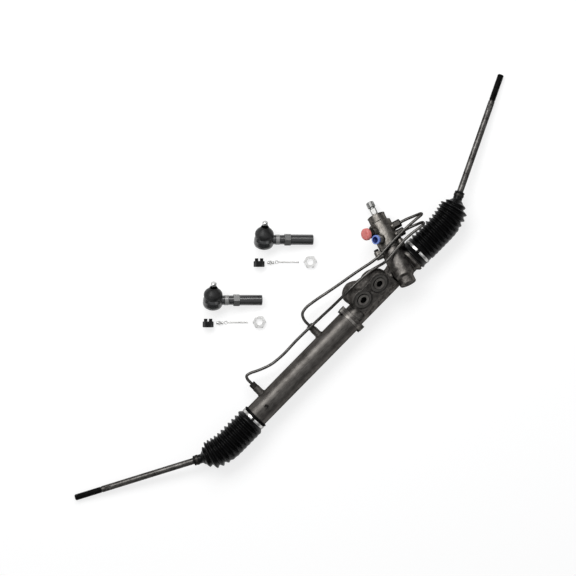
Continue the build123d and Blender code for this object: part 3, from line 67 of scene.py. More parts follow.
END_AT = {"upper": Vector((0.155, 0.2595, -0.01107)), "lower": Vector((-0.0192, 0.2463, -0.01107))}
SIDE = {"left": -1, "right": 1}
BALL = {"left": Vector((-0.248, 0, 0)), "right": Vector((0.478, 0, 0))}


# Each tie rod droops until its thread is 0.1 mm off the floor; these sizes are in millimetres

FLOOR_DROP = 35.4
CREST = 6.9
ROD_REACH = 335.5
DROOP = math.asin((FLOOR_DROP - CREST) / ROD_REACH)
ROD_DIR = {
    side: Vector((
        SIDE[side] * math.cos(math.radians(angle)) * math.cos(DROOP),
        math.sin(math.radians(angle)) * math.cos(DROOP),
        -math.sin(DROOP),
    ))
    for side, angle in (("left", 28.0), ("right", 24.9))
}


# Node helpers

# Painted shade: near-black tone and its share, laid by ambient occlusion in grooves, corners and
# bores
CREVICE_SHADE_TONE = (0.004, 0.004, 0.004)
CREVICE_SHADE_SHARE = 0.85
BAND_BLUR = 0.0002


class Graph:
    """A node material with short calls for the nodes that it is made of."""

    def __init__(self, name):
        self.material = bpy.data.materials.new(name)
        self.material.use_nodes = True
        self.tree = self.material.node_tree
        self.tree.nodes.clear()
        self.output = self.tree.nodes.new("ShaderNodeOutputMaterial")
        self.shader = self.tree.nodes.new("ShaderNodeBsdfPrincipled")
        self.tree.links.new(self.shader.outputs[0], self.output.inputs["Surface"])
        self.where = self.tree.nodes.new("ShaderNodeTexCoord").outputs["Object"]

    def node(self, kind, **settings):
        made = self.tree.nodes.new("ShaderNode" + kind)
        for key, value in settings.items():
            setattr(made, key, value)
        return made

    def join(self, source, target):
        self.tree.links.new(source, target)

    def stretched(self, scale):
        made = self.node("Mapping")
        made.inputs["Scale"].default_value = scale
        self.join(self.where, made.inputs["Vector"])
        return made.outputs[0]

    def noise(self, scale, detail=4.0, rough=0.55, where=None):
        made = self.node("TexNoise")
        made.inputs["Scale"].default_value = scale
        made.inputs["Detail"].default_value = detail
        made.inputs["Roughness"].default_value = rough
        self.join(where or self.where, made.inputs["Vector"])
        return made.outputs["Fac"]

    def ramp(self, source, stops):
        made = self.node("ValToRGB")
        band = made.color_ramp
        while len(band.elements) < len(stops):
            band.elements.new(0.5)
        for element, (place, colour) in zip(band.elements, stops):
            element.position = place
            element.color = (*colour, 1)
        self.join(source, made.inputs[0])
        return made.outputs[0]

    def spread(self, source, low, high, start=0.3, end=0.7):
        """The source, carried from start and end to low and high, and held there beyond them."""
        made = self.node("MapRange")
        made.inputs["From Min"].default_value = start
        made.inputs["From Max"].default_value = end
        made.inputs["To Min"].default_value = low
        made.inputs["To Max"].default_value = high
        self.join(source, made.inputs[0])
        return made.outputs[0]

    def maths(self, operation, a, b):
        made = self.node("Math", operation=operation)
        for socket, value in zip(made.inputs, (a, b)):
            if isinstance(value, (int, float)):
                socket.default_value = value
            else:
                self.join(value, socket)
        return made.outputs[0]

    def mixed(self, share, a, b, blend="MIX"):
        made = self.node("Mix", data_type="RGBA", blend_type=blend)
        for socket, value in ((made.inputs[0], share), (made.inputs[6], a), (made.inputs[7], b)):
            if isinstance(value, (int, float)):
                socket.default_value = value
            elif isinstance(value, tuple):
                socket.default_value = (*value, 1)
            else:
                self.join(value, socket)
        return made.outputs[2]

    def bump(self, height, distance, strength, under=None):
        made = self.node("Bump")
        made.inputs["Distance"].default_value = distance
        made.inputs["Strength"].default_value = strength
        self.join(height, made.inputs["Height"])
        if under is not None:
            self.join(under, made.inputs["Normal"])
        return made.outputs[0]

    def dot(self, a, b):
        made = self.node("VectorMath", operation="DOT_PRODUCT")
        for socket, value in zip(made.inputs, (a, b)):
            if isinstance(value, (tuple, Vector)):
                socket.default_value = value
            else:
                self.join(value, socket)
        return made.outputs["Value"]

    def rounded(self, radius):
        made = self.node("Bevel", samples=4)
        made.inputs["Radius"].default_value = radius
        return made.outputs[0]

    def edges(self, radius):
        """Share near 1 where the surface turns a sharp corner."""
        flat = self.node("NewGeometry").outputs["Normal"]
        return self.spread(self.dot(self.rounded(radius), flat), 1.0, 0.0, 0.75, 0.985)

    def crevice_shade(self, tone, shade_reach):
        """The tone, darkened by ambient occlusion in grooves, corners and bores: painted shade."""
        made = self.node("AmbientOcclusion", samples=8)
        made.inputs["Distance"].default_value = shade_reach
        share = self.spread(made.outputs["AO"], CREVICE_SHADE_SHARE, 0.0, 0.35, 0.85)
        return self.mixed(share, tone, CREVICE_SHADE_TONE)

    def bands(self, tone, along, spans):
        """The tone, with another one between two distances along a direction, for each span."""
        place = self.dot(self.where, along)
        for low, high, colour in spans:
            start = self.spread(place, 0.0, 1.0, low - BAND_BLUR, low + BAND_BLUR)
            end = self.spread(place, 1.0, 0.0, high - BAND_BLUR, high + BAND_BLUR)
            tone = self.mixed(self.maths("MULTIPLY", start, end), tone, colour)
        return tone

    def spot(self, tone, centre, radius, colour):
        """The tone, with a ragged patch of another one round a place."""
        far = self.node("VectorMath", operation="DISTANCE")
        self.join(self.where, far.inputs[0])
        far.inputs[1].default_value = centre
        raggedness = self.spread(self.noise(400.0), -0.002, 0.002)
        ragged = self.maths("ADD", far.outputs["Value"], raggedness)
        return self.mixed(self.spread(ragged, 0.85, 0.0, radius * 0.6, radius * 1.3), tone, colour)

    def set(self, **values):
        """Sets the shader's sockets by name, and returns the material."""
        for key, value in values.items():
            socket = self.shader.inputs[key.replace("_", " ")]
            if isinstance(value, (int, float)):
                socket.default_value = value
            elif isinstance(value, tuple):
                socket.default_value = (*value, 1)
            else:
                self.join(value, socket)
        return self.material


# Kinds of surface

EDGE_TINT = (0.12, 0.12, 0.12)


def cast_metal(name, dark, light, rough, worn_edge_highlight, grain=420.0, relief=0.00016):
    """Blasted casting: pitted skin, uneven tone, painted shade in its corners, sharp edges lighter as
    rubbed wear and as a painted highlight.
    """
    g = Graph(name)
    patches = g.noise(70.0, 7.0, 0.7)
    pits = g.noise(grain, 6.0, 0.65)
    tone = g.ramp(patches, [(0.34, dark), (0.66, light)])
    speck = g.ramp(pits, [(0.3, (0.5, 0.5, 0.5)), (0.66, (1.25, 1.25, 1.25))])
    tone = g.mixed(1.0, tone, speck, "MULTIPLY")
    # Sharp edges paler: partly rubbed wear, partly a painted highlight
    tone = g.mixed(g.maths("MULTIPLY", g.edges(0.0011), 0.7), tone, worn_edge_highlight)
    # Painted shade in the casting's corners and grooves
    tone = g.crevice_shade(tone, 0.007)
    skin = g.bump(pits, relief, 0.9, g.rounded(0.0007))
    skin = g.bump(patches, relief * 8, 0.4, skin)
    return g.set(Base_Color=tone, Metallic=0.88, Normal=skin, Specular_Tint=EDGE_TINT,
                 Roughness=g.spread(pits, rough - 0.07, rough + 0.12))


def worked_metal(name, dark, light, rough, along=(1, 1, 1), grain=500.0, relief=0.00004,
                 metallic=0.9, spans=None, shade_reach=0.003, spot=None):
    """Drawn, turned or plated metal, with fine marks that run across the stretched axis."""
    g = Graph(name)
    marks = g.noise(grain, 5.0, 0.6, g.stretched(along))
    cloud = g.noise(38.0, 5.0, 0.65)
    mottle = g.maths("MULTIPLY", g.maths("ADD", marks, cloud), 0.5)
    tone = g.ramp(mottle, [(0.38, dark), (0.6, light)])
    if spans:
        tone = g.bands(tone, *spans)
    if spot:
        tone = g.spot(tone, *spot)
    # Painted shade in grooves and bores, within the given reach
    tone = g.crevice_shade(tone, shade_reach)
    skin = g.bump(marks, relief, 0.7, g.rounded(0.0004))
    return g.set(Base_Color=tone, Metallic=metallic, Normal=skin, Specular_Tint=EDGE_TINT,
                 Roughness=g.spread(marks, rough - 0.05, rough + 0.1))


def rubber(name, dark, light, rough, gloss=0.3, shade_reach=0.004):
    """Moulded rubber, finely grained, with dust in uneven patches."""
    g = Graph(name)
    dust = g.noise(60.0, 6.0, 0.65)
    fine = g.noise(900.0, 4.0, 0.6)
    tone = g.ramp(dust, [(0.35, dark), (0.7, light)])
    # Painted shade in the rubber's folds and grooves
    tone = g.crevice_shade(tone, shade_reach)
    skin = g.bump(fine, 0.00006, 0.7)
    return g.set(Base_Color=tone, Normal=skin, Specular_IOR_Level=gloss,
                 Roughness=g.spread(fine, rough - 0.08, rough + 0.12))


def plastic(name, dark, light, rough, under=0.0):
    """Moulded plastic, slightly cloudy; light goes into it by the share under."""
    g = Graph(name)
    cloud = g.noise(90.0, 4.0, 0.6)
    fine = g.noise(1400.0, 3.0, 0.5)
    tone = g.ramp(cloud, [(0.3, dark), (0.7, light)])
    skin = g.bump(fine, 0.00005, 0.5, g.rounded(0.0007))
    made = g.set(Base_Color=tone, Normal=skin,
                 Roughness=g.spread(fine, rough - 0.04, rough + 0.06))
    if under:
        g.shader.inputs["Subsurface Weight"].default_value = under
        g.shader.inputs["Subsurface Radius"].default_value = (0.004, 0.002, 0.002)
    return made


def enamel(name, dark, light, rough, spans=None, coat=0.9, coat_index=1.5):
    """Thin black coat over a forging, a little orange-peeled, with paler painted-highlight bands
    where spans are given.
    """
    g = Graph(name)
    peel = g.noise(330.0, 5.0, 0.6)
    cloud = g.noise(45.0, 4.0, 0.6)
    tone = g.ramp(cloud, [(0.32, dark), (0.7, light)])
    tone = g.mixed(g.maths("MULTIPLY", g.edges(0.0008), 0.3), tone, (0.09, 0.09, 0.09))
    if spans:
        tone = g.bands(tone, *spans)
    # Painted shade in the coat's grooves and corners
    tone = g.crevice_shade(tone, 0.003)
    skin = g.bump(peel, 0.00006, 0.6, g.rounded(0.0006))
    return g.set(Base_Color=tone, Metallic=0.1, Normal=skin, Coat_Weight=coat, Coat_Roughness=0.26,
                 Coat_IOR=coat_index, Specular_IOR_Level=0.15,
                 Roughness=g.spread(peel, rough - 0.06, rough + 0.1))


# Surfaces of this part, and the nodes that have them

# Near-black: a dark band and a ragged dark spot on the tube, and painted shade down the bush sleeves'
# bores
DARK_MARK_AND_BORE_SHADE = (0.008, 0.008, 0.008)
# Two paler bands on the black shanks, painted highlights: one near the neck, one on the hex collar
SHANK_HIGHLIGHT_BANDS = ((0.026, 0.034, (0.22, 0.22, 0.216)), (0.0455, 0.0585, (0.1, 0.1, 0.098)))
STUD_DARK = (0.012, 0.012, 0.012)
STUD_DARK_END = 0.0405


def shank_skin(name):
    """Black shank of a loose end, with its two paler bands, painted highlights, at their distances
    from the ball.
    """
    ball = END_AT[name].dot(SHANK_DIR)
    spans = [(ball + low, ball + high, tone) for low, high, tone in SHANK_HIGHLIGHT_BANDS]
    return enamel(name + "_shank_skin", (0.006, 0.006, 0.0065), (0.016, 0.016, 0.0165), 0.42,
                  coat_index=1.85, spans=(SHANK_DIR, spans))


def stud_skin(name):
    """Bright ball stud that is dark from below up to a distance from the ball."""
    dark_end = END_AT[name].dot(STUD_DIR) + STUD_DARK_END
    return worked_metal(name + "_stud_skin", (0.5, 0.5, 0.49), (0.76, 0.76, 0.75), 0.26,
                        grain=900.0, spans=(STUD_DIR, [(-1.0, dark_end, STUD_DARK)]))


IRON = cast_metal("iron_skin", (0.04, 0.0365, 0.034), (0.2, 0.188, 0.175), 0.38,
                  (0.3, 0.285, 0.266))
ALLOY = cast_metal("alloy_skin", (0.07, 0.065, 0.058), (0.26, 0.245, 0.225), 0.34,
                   (0.42, 0.4, 0.37), 620.0, 0.00012)
TUBE = worked_metal("drawn_skin", (0.066, 0.061, 0.056), (0.16, 0.15, 0.14), 0.42, (0.12, 1, 1),
                    700.0, 0.00003, spans=(RACK_DIR, [(-0.1378, -0.1332, DARK_MARK_AND_BORE_SHADE)]),
                    spot=((-0.1012, -0.0015, 0.0268), 0.0052, DARK_MARK_AND_BORE_SHADE))
# The joint flange is paler than the tube: a painted highlight band at the joint
JOINT_HIGHLIGHT = worked_metal("joint_highlight_skin", (0.1, 0.093, 0.086), (0.3, 0.285, 0.265), 0.34)
BRIGHT = worked_metal("turned_skin", (0.2, 0.2, 0.195), (0.42, 0.42, 0.41), 0.4)
PLATED = worked_metal("plated_skin", (0.5, 0.495, 0.48), (0.8, 0.795, 0.78), 0.32, grain=420.0)
ZINC = worked_metal("zinc_skin", (0.68, 0.675, 0.66), (0.9, 0.895, 0.88), 0.4, grain=420.0)
ROD = worked_metal("rod_skin", (0.034, 0.032, 0.03), (0.16, 0.154, 0.146), 0.32, grain=300.0)
LINE = worked_metal("line_skin", (0.042, 0.04, 0.037), (0.15, 0.144, 0.136), 0.2, relief=0.00001)
DARK_STEEL = worked_metal("dark_skin", (0.022, 0.021, 0.02), (0.06, 0.057, 0.053), 0.4, grain=600.0)
# The sleeve is near-black along its bore: painted shade inside the hole
SLEEVE = worked_metal("sleeve_skin", (0.15, 0.14, 0.13), (0.3, 0.283, 0.263), 0.4, grain=600.0,
                      spans=(BUSH_DIR, [(0.0072, 0.0338, DARK_MARK_AND_BORE_SHADE)]))
THREAD = worked_metal("thread_skin", (0.006, 0.006, 0.006), (0.02, 0.0195, 0.019), 0.4, grain=900.0,
                      metallic=0.5, shade_reach=0.0008)
BLACK = enamel("black_skin", (0.002, 0.002, 0.0023), (0.006, 0.006, 0.0063), 0.45, coat=0.15)
SHANKS = {name: shank_skin(name) for name in END_AT}
STUDS = {name: stud_skin(name) for name in END_AT}
BOOT = rubber("boot_skin", (0.0012, 0.0012, 0.0014), (0.0045, 0.0045, 0.0047), 0.32, gloss=0.16)
DUST_RUBBER = rubber("dust_skin", (0.014, 0.014, 0.014), (0.036, 0.036, 0.036), 0.36, gloss=0.18)
BUSH = rubber("bush_skin", (0.07, 0.066, 0.06), (0.13, 0.123, 0.113), 0.44, shade_reach=0.0016)
SEAL = rubber("seal_skin", (0.012, 0.012, 0.012), (0.022, 0.021, 0.02), 0.5)
RED = plastic("red_skin", (0.6, 0.16, 0.145), (0.78, 0.25, 0.23), 0.42, 0.25)
PALE = plastic("ring_skin", (0.14, 0.22, 0.6), (0.24, 0.34, 0.74), 0.24, 0.15)
NAVY = plastic("core_skin", (0.003, 0.008, 0.07), (0.006, 0.02, 0.15), 0.25)
NYLON = plastic("nylon_skin", (0.66, 0.65, 0.58), (0.76, 0.75, 0.68), 0.45, 0.2)
BRONZE = worked_metal("bronze_skin", (0.4, 0.28, 0.13), (0.56, 0.42, 0.22), 0.32)

SKINS = {
    IRON: ["rack_housing", "bottom_cap"],
    ALLOY: ["valve_housing", "yoke"],
    TUBE: ["cylinder_tube", "bush_shells"],
    JOINT_HIGHLIGHT: ["joint_flange"],
    SLEEVE: ["bush_sleeves"],
    DARK_STEEL: ["tower_bolts", "yoke_plug", "yoke_lock_nut", "seal_retainer", "yoke_springs",
                 "joint_bolts", "left_ball_socket", "right_ball_socket", "line_nuts",
                 "return_fitting", "left_small_clamp", "right_small_clamp"],
    PLATED: ["pressure_fitting", "large_clamps", "cotter_pins", "grease_fittings", "pinion_nut"],
    ZINC: ["jam_nuts"],
    BRIGHT: ["input_bearing", "upper_pinion_bearing", "lower_pinion_bearing", "rack_bar", "piston",
             "pinion", "valve_sleeve", "torsion_bar", "input_shaft"],
    STUDS["upper"]: ["upper_ball_stud"],
    STUDS["lower"]: ["lower_ball_stud"],
    ROD: ["left_tie_rod", "right_tie_rod"],
    LINE: ["near_transfer_tube", "far_transfer_tube"],
    BLACK: ["end_covers", "castle_nuts"],
    SHANKS["upper"]: ["upper_end_socket"],
    SHANKS["lower"]: ["lower_end_socket"],
    BOOT: ["left_bellows", "right_bellows", "upper_dust_boot", "lower_dust_boot"],
    BUSH: ["bush_rubbers"],
    SEAL: ["rod_seals", "top_seal", "piston_ring", "sleeve_rings"],
    RED: ["return_cap"],
    PALE: ["pressure_cap"],
    NYLON: ["left_ball_seat", "right_ball_seat"],
    BRONZE: ["end_bushing"],
}
for skin, names in SKINS.items():
    for name in names:
        for slot in nodes[name].material_slots:
            slot.material = skin


# Mesh helpers

def piece(name, points, faces, skin, smooth=True, crease=None):
    """Mesh object in metres; edges sharper than crease, in degrees, stay hard."""
    mesh = bpy.data.meshes.new(name)
    mesh.from_pydata([tuple(p) for p in points], [], faces)
    mesh.validate()
    mesh.update()
    if smooth:
        mesh.shade_smooth()
    if crease:
        mesh.set_sharp_from_angle(angle=math.radians(crease))
    made = bpy.data.objects.new(name, mesh)
    made.data.materials.append(skin)
    bpy.context.scene.collection.objects.link(made)
    return made


def grid_faces(rows, columns, close_rows=False):
    """Faces of a grid whose columns run round; the rows may close too."""
    faces = []
    last = rows if close_rows else rows - 1
    for r in range(last):
        s = (r + 1) % rows
        for c in range(columns):
            d = (c + 1) % columns
            faces.append((r * columns + c, s * columns + c, s * columns + d, r * columns + d))
    return faces


def frame_at(origin, along, side=(0, 0, 1)):
    """Axes of a place: across, up and along, with its origin."""
    z = Vector(along).normalized()
    x = Vector(side)
    x = (x - z * x.dot(z)).normalized()
    return Vector(origin), x, z.cross(x), z


def lathe(name, place, outline, skin, columns=64, shape=None, crease=35, loop=False):
    """Turned piece from (along, radius) in millimetres; shape(along, angle, radius) may vary it."""
    spot, x, y, z = place
    points, rows = [], []
    for s, r in outline:
        turns = columns if r > 0 else 1
        rows.append([len(points) + k for k in range(turns)])
        for k in range(turns):
            a = 2 * math.pi * k / columns
            out = shape(s, a, r) if shape else r
            points.append(spot + (z * s + (x * math.cos(a) + y * math.sin(a)) * out) * 0.001)
    faces = []
    for low, high in zip(rows, rows[1:] + rows[:1] if loop else rows[1:]):
        for k in range(columns):
            n = (k + 1) % columns
            if len(low) == len(high) == columns:
                faces.append((low[k], high[k], high[n], low[n]))
            elif len(low) == columns:
                faces.append((low[k], high[0], low[n]))
            elif len(high) == columns:
                faces.append((low[0], high[k], high[n]))
    return piece(name, points, faces, skin, crease=crease)


def replacing(made, body, *names):
    """Lets a rigid piece stand for CAD nodes and ride on their body."""
    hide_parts(*names)
    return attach(made, body)


# Bellows, in metres, cut into three spans so that each bends with one joint

BEND = 0.038
CUFF_END = 0.042
PEAK, VALLEY, SMALL_CUFF, SHOULDER = 0.0342, 0.0281, 0.0104, 0.0341
LAST_PEAK = 0.96
END_CONE = (0.62, 0.7, 0.45)
LEAN_LAG = 1.6
BOOT_WALL = 0.0016
BOOT_COLUMNS = 80
INNER_ROWS, OUTER_ROWS = 15, 5
ROUNDED, STRAIGHT = 0.6, 0.4
PULL = 0.86
PULL_FADE = (0.58, 0.72)
PULL_SIDE = (0.72, 0.98)
SEAT_SHARE = 0.88


class BootPath:
    """Centre line of a bellows: along the rack, round an arc, then along the tie rod."""

    def __init__(self, side, start_x):
        self.ball = BALL[side]
        self.first = Vector((SIDE[side], 0, 0))
        self.last = ROD_DIR[side]
        self.start = Vector((start_x, 0, 0))
        self.turn = self.first.angle(self.last)
        self.radius = BEND / math.tan(self.turn / 2)
        self.straight = (self.ball - self.first * BEND - self.start).length
        self.arc = self.radius * self.turn
        self.length = self.straight + self.arc + CUFF_END - BEND
        self.inward = (self.last - self.first * self.last.dot(self.first)).normalized()

    def at(self, s):
        if s <= self.straight:
            return self.start + self.first * s, self.first
        if s <= self.straight + self.arc:
            a = (s - self.straight) / self.radius
            corner = self.start + self.first * self.straight
            spot = corner + self.first * math.sin(a) * self.radius
            spot += self.inward * (1 - math.cos(a)) * self.radius
            return spot, self.first * math.cos(a) + self.inward * math.sin(a)
        beyond = s - self.straight - self.arc
        return self.ball + self.last * (BEND + beyond), self.last

    def facing(self, s):
        """Axis of a fold, which lags behind the centre line, as a bellows shears when it bends."""
        share = min(max((s - self.straight) / (self.length - self.straight), 0.0), 1.0) ** LEAN_LAG
        return self.first * math.cos(self.turn * share) + self.inward * math.sin(self.turn * share)


def fold_sizes(folds, shouldered):
    """Radii of the peaks and valleys in turn, with a cone from the last peak to the small cuff."""
    sizes = [SHOULDER, VALLEY] if shouldered else [VALLEY]
    sizes += [PEAK, VALLEY] * (folds - 2)
    return [*sizes, PEAK * LAST_PEAK, *(PEAK * share for share in END_CONE), SMALL_CUFF]


def smooth_step(value, low, high):
    share = min(max((value - low) / (high - low), 0.0), 1.0)
    return share * share * (3 - 2 * share)


def fold_radius(share, sizes, outward):
    """Radius at a share of the folds; the bend's outer side pulls the first ones nearly smooth."""
    place = min(max(share, 0.0), 0.99999) * (len(sizes) - 1)
    here = int(place)
    a, b = sizes[here], sizes[here + 1]
    rise = place - here if a < b else here + 1 - place
    crest = ROUNDED * (0.5 - 0.5 * math.cos(math.pi * rise)) + STRAIGHT * rise
    radius = min(a, b) + abs(a - b) * crest
    pulled = PULL * (1 - smooth_step(share, *PULL_FADE)) * smooth_step(outward, *PULL_SIDE)
    return radius + (max(a, b) - radius) * pulled


def boot_span(name, path, rings):
    """Closed rubber sleeve through rings of (distance, outer radius by direction, wall)."""
    outer, inner = [], []
    for s, size, wall in rings:
        if s < 0:
            spot, along = path.start + path.first * s, path.first
        elif s > path.length:
            spot, along = path.at(path.length)[0] + path.last * (s - path.length), path.last
        else:
            spot, along = path.at(s)[0], path.facing(s)
        _, x, y, _ = frame_at(spot, along)
        row, back = [], []
        for k in range(BOOT_COLUMNS):
            a = 2 * math.pi * k / BOOT_COLUMNS
            out = x * math.cos(a) + y * math.sin(a)
            radius = size(-out.dot(path.inward)) if callable(size) else size
            row.append(spot + out * radius)
            back.append(spot + out * (radius - wall))
        outer.append(row)
        inner.append(back)
    points = [p for ring in outer + inner[::-1] for p in ring]
    return piece(name, points, grid_faces(len(outer) * 2, BOOT_COLUMNS, True), BOOT)


def folded(path, sizes, start, end, rows):
    """Rings of the folded wall between two distances."""
    return [
        (s, lambda outward, share=s / path.length: fold_radius(share, sizes, outward), BOOT_WALL)
        for s in np.linspace(start, end, rows)
    ]


# Cuffs, as (distance, outer radius, wall) in millimetres; FLARE and STEPPED are the large ones

FLARE = [(-16.45, 28.7, 2.2), (-16.1, 28.9, 2.4), (-9.2, 28.7, 2.2), (-8.5, 28.75, 2.25),
         (-7.8, 29.1, 2.6), (-6.2, 30.6, 2.4), (-4.5, 32.2, 2.0), (-2.8, 33.4, 1.8),
         (-1.2, 34.1, 1.7)]
STEPPED = [(-28.8, 32.2, 2.1), (-28.3, 33.6, 3.5), (-23.8, 33.6, 3.5), (-23.1, 32.3, 2.2),
           (-2.2, 32.2, 2.1), (-1.6, 31.6, 4.2), (-0.9, 30.0, 4.0)]
SMALL_END = [(0.8, 10.4, 3.6), (14.2, 10.4, 3.8), (15.2, 11.2, 4.6), (16.8, 11.2, 4.6),
             (17.8, 10.4, 3.8)]
BOOTS = (
    ("left", -0.15505, 11, True, FLARE),
    ("right", 0.38505, 12, False, STEPPED),
)
for side, wall_x, folds, shouldered, cuff in BOOTS:
    path = BootPath(side, wall_x)
    sizes = fold_sizes(folds, shouldered)
    ball_s = path.straight + path.arc / 2
    seat_s = path.straight + path.arc * SEAT_SHARE
    lead = [(s / 1000, r / 1000, wall / 1000) for s, r, wall in cuff]
    tail = [(path.length + s / 1000, r / 1000, wall / 1000) for s, r, wall in SMALL_END]
    inner_rings = lead + folded(path, sizes, 0, ball_s, folds * INNER_ROWS)
    middle_rings = folded(path, sizes, ball_s, seat_s, folds * OUTER_ROWS)
    outer_rings = folded(path, sizes, seat_s, path.length, folds * OUTER_ROWS) + tail
    first = boot_span(side + "_boot_inner", path, inner_rings)
    middle = boot_span(side + "_boot_middle", path, middle_rings)
    last = boot_span(side + "_boot_outer", path, outer_rings)
    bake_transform(first)
    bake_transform(middle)
    path.at(seat_s)[0]
    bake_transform(last)
    for made in (first, middle, last):
        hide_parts(side + "_bellows")


# Band clamps, with a crimped ear whose two legs stand on each side of a gap

def ribbon(name, x, path, width, thick, skin):
    """Strip across the rack's line: (y, z) points in millimetres, thick on its outer side."""
    section = ((-0.5, 0.0), (-0.5, 0.75), (-0.44, 1.0), (0.44, 1.0), (0.5, 0.75), (0.5, 0.0))
    points = []
    for n, (y, z) in enumerate(path):
        before = path[max(n - 1, 0)]
        after = path[min(n + 1, len(path) - 1)]
        run = math.hypot(after[0] - before[0], after[1] - before[1])
        normal = ((after[1] - before[1]) / run, -(after[0] - before[0]) / run)
        for across, lift in section:
            points.append(Vector((
                x + across * width * 0.001,
                (y + normal[0] * lift * thick) * 0.001,
                (z + normal[1] * lift * thick) * 0.001,
            )))
    count = len(section)
    faces = grid_faces(len(path), count)
    faces += [tuple(range(count)), tuple(len(points) - 1 - k for k in range(count))]
    return piece(name, points, faces, skin, crease=40)


GAP = math.radians(7.4)
CLAMPS = {"left": (-0.1426, 28.72), "right": (0.3726, 32.22)}
BAND_WIDTH, BAND_THICK = 6.2, 0.9
LEG = ((0.35, 0.12), (0.6, 0.5), (0.66, 2.4))
HOOK_LIFT, HOOK_WIDTH, HOOK_THICK = 1.2, 2.4, 0.7
for side, (clamp_x, seat) in CLAMPS.items():
    angles = np.linspace(GAP, 2 * math.pi - GAP, 91)
    arc = [(seat * math.sin(a), seat * math.cos(a)) for a in angles]
    legs = [
        [(end[0] + turn * dy, end[1] + dz) for dy, dz in LEG]
        for end, turn in ((arc[0], -1), (arc[-1], 1))
    ]
    band = legs[0][::-1] + arc + legs[1]
    replacing(ribbon(side + "_band", clamp_x, band[::-1], BAND_WIDTH, BAND_THICK, PLATED),
              "housing", "large_clamps")
    lift = seat + HOOK_LIFT
    hook = [(lift * math.sin(a), lift * math.cos(a)) for a in np.linspace(GAP, -GAP, 9)]
    # The hook across the gap is dark steel, unlike the plated band: painted shade over the gap
    replacing(ribbon(side + "_band_hook", clamp_x, hook, HOOK_WIDTH, HOOK_THICK, DARK_STEEL),
              "housing", "large_clamps")


# Tie rods, in millimetres: ball, waisted shank with its wrench flats, and a cut thread

BALL_R = 14
FLAT_START, FLAT_END, FLAT_HALF = 252.0, 266.0, 6.0
CUT_START, CUT_END, PITCH = 275.0, 337.0, 1.5
CUT_STEPS = 8
TIP_CHAMFER = 1.5
ROOT = 6.02


def flats(s, a, r):
    if FLAT_START <= s <= FLAT_END:
        return min(r, FLAT_HALF / max(abs(math.cos(a)), 0.01))
    return r


def thread_cut(s, a, r):
    """Radius of a thread that winds on and eases in at its start; the outline limits it."""
    phase = (s / PITCH - a / (2 * math.pi)) % 1.0
    ridge = min(1.0, max(0.0, 1.25 - abs(phase - 0.5) * 4 + 0.35))
    fade = smooth_step(s, CUT_START, CUT_START + 2 * PITCH)
    return min(r, ROOT + (CREST - ROOT) * (ridge * fade))


for side in ("left", "right"):
    place = frame_at(BALL[side], ROD_DIR[side])
    turns = np.radians(np.linspace(-84, 64, 20))
    ball = [(BALL_R * math.sin(a), BALL_R * math.cos(a)) for a in turns]
    shank = [(-BALL_R, 0)] + ball + [
        (13.2, 6), (25, 6), (27, 6.15), (30, 6.75), (32, 7), (41, 7), (42, 6.2), (60, 6.2), (61, 7),
        (FLAT_START - 0.05, 7), (FLAT_START, 7), (FLAT_END, 7), (FLAT_END + 0.05, 7), (273.6, 7),
        (CUT_START - 0.3, ROOT), (CUT_START + 0.6, ROOT), (CUT_START + 0.6, 0),
    ]
    replacing(lathe(side + "_rod_shank", place, shank, ROD, 72, flats),
              side + "_rod", side + "_tie_rod")
    runs = np.linspace(CUT_START, CUT_END, int((CUT_END - CUT_START) / PITCH * CUT_STEPS))
    crests = [(s, min(CREST, CREST - TIP_CHAMFER + (CUT_END - s))) for s in runs]
    cut = [(CUT_START, 0)] + crests + [(CUT_END, 0)]
    replacing(lathe(side + "_rod_thread", place, cut, THREAD, 40, thread_cut, 30),
              side + "_rod", side + "_tie_rod")


# Mounting bushes: rubber with a deep groove at each steel edge and a shallow one between them

BUSH_FACE = [
    (6.5, 13.02), (6.5, 21.38), (27.2, 21.38), (27.2, 20.5), (32.3, 20.3), (32.7, 19.9), (32.7, 17.9),
    (32.2, 17.5), (32.2, 17.0), (32.7, 16.6), (32.7, 14.9), (32.3, 14.5), (27.2, 14.3), (27.2, 13.02),
]
for side, spot in BUSH_AT.items():
    place = frame_at(spot, BUSH_DIR, RACK_DIR)
    replacing(lathe(side + "_bush_face", place, BUSH_FACE, BUSH, 72, loop=True),
              "housing", "bush_rubbers")


# Dust boots of the loose ends: a broad belly that closes on the stud with a lip

DUST = [
    (8.0, 17.2), (8.0, 18.9), (9.0, 19.7), (11.0, 20.5), (13.5, 20.8), (16.0, 20.7), (18.5, 20.1),
    (21.0, 18.8), (23.5, 16.8), (26.0, 14.4), (28.4, 12.1), (30.4, 10.4), (31.8, 9.5), (32.8, 9.3),
    (33.6, 8.9), (33.9, 8.3), (33.6, 7.3), (32.6, 7.0), (31.2, 7.9), (29.0, 10.0), (26.0, 12.9),
    (23.0, 15.7), (20.0, 17.9), (17.0, 19.1), (14.0, 19.4), (11.0, 18.9), (9.4, 17.8),
]
for name, spot in END_AT.items():
    place = frame_at(spot, STUD_DIR)
    boot = lathe(name + "_dust_cover", place, DUST, DUST_RUBBER, 72, crease=60, loop=True)
    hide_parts(name + "_dust_boot")
    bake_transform(boot)


# Red cap of the return port, and the dark core in the blue cap of the pressure port

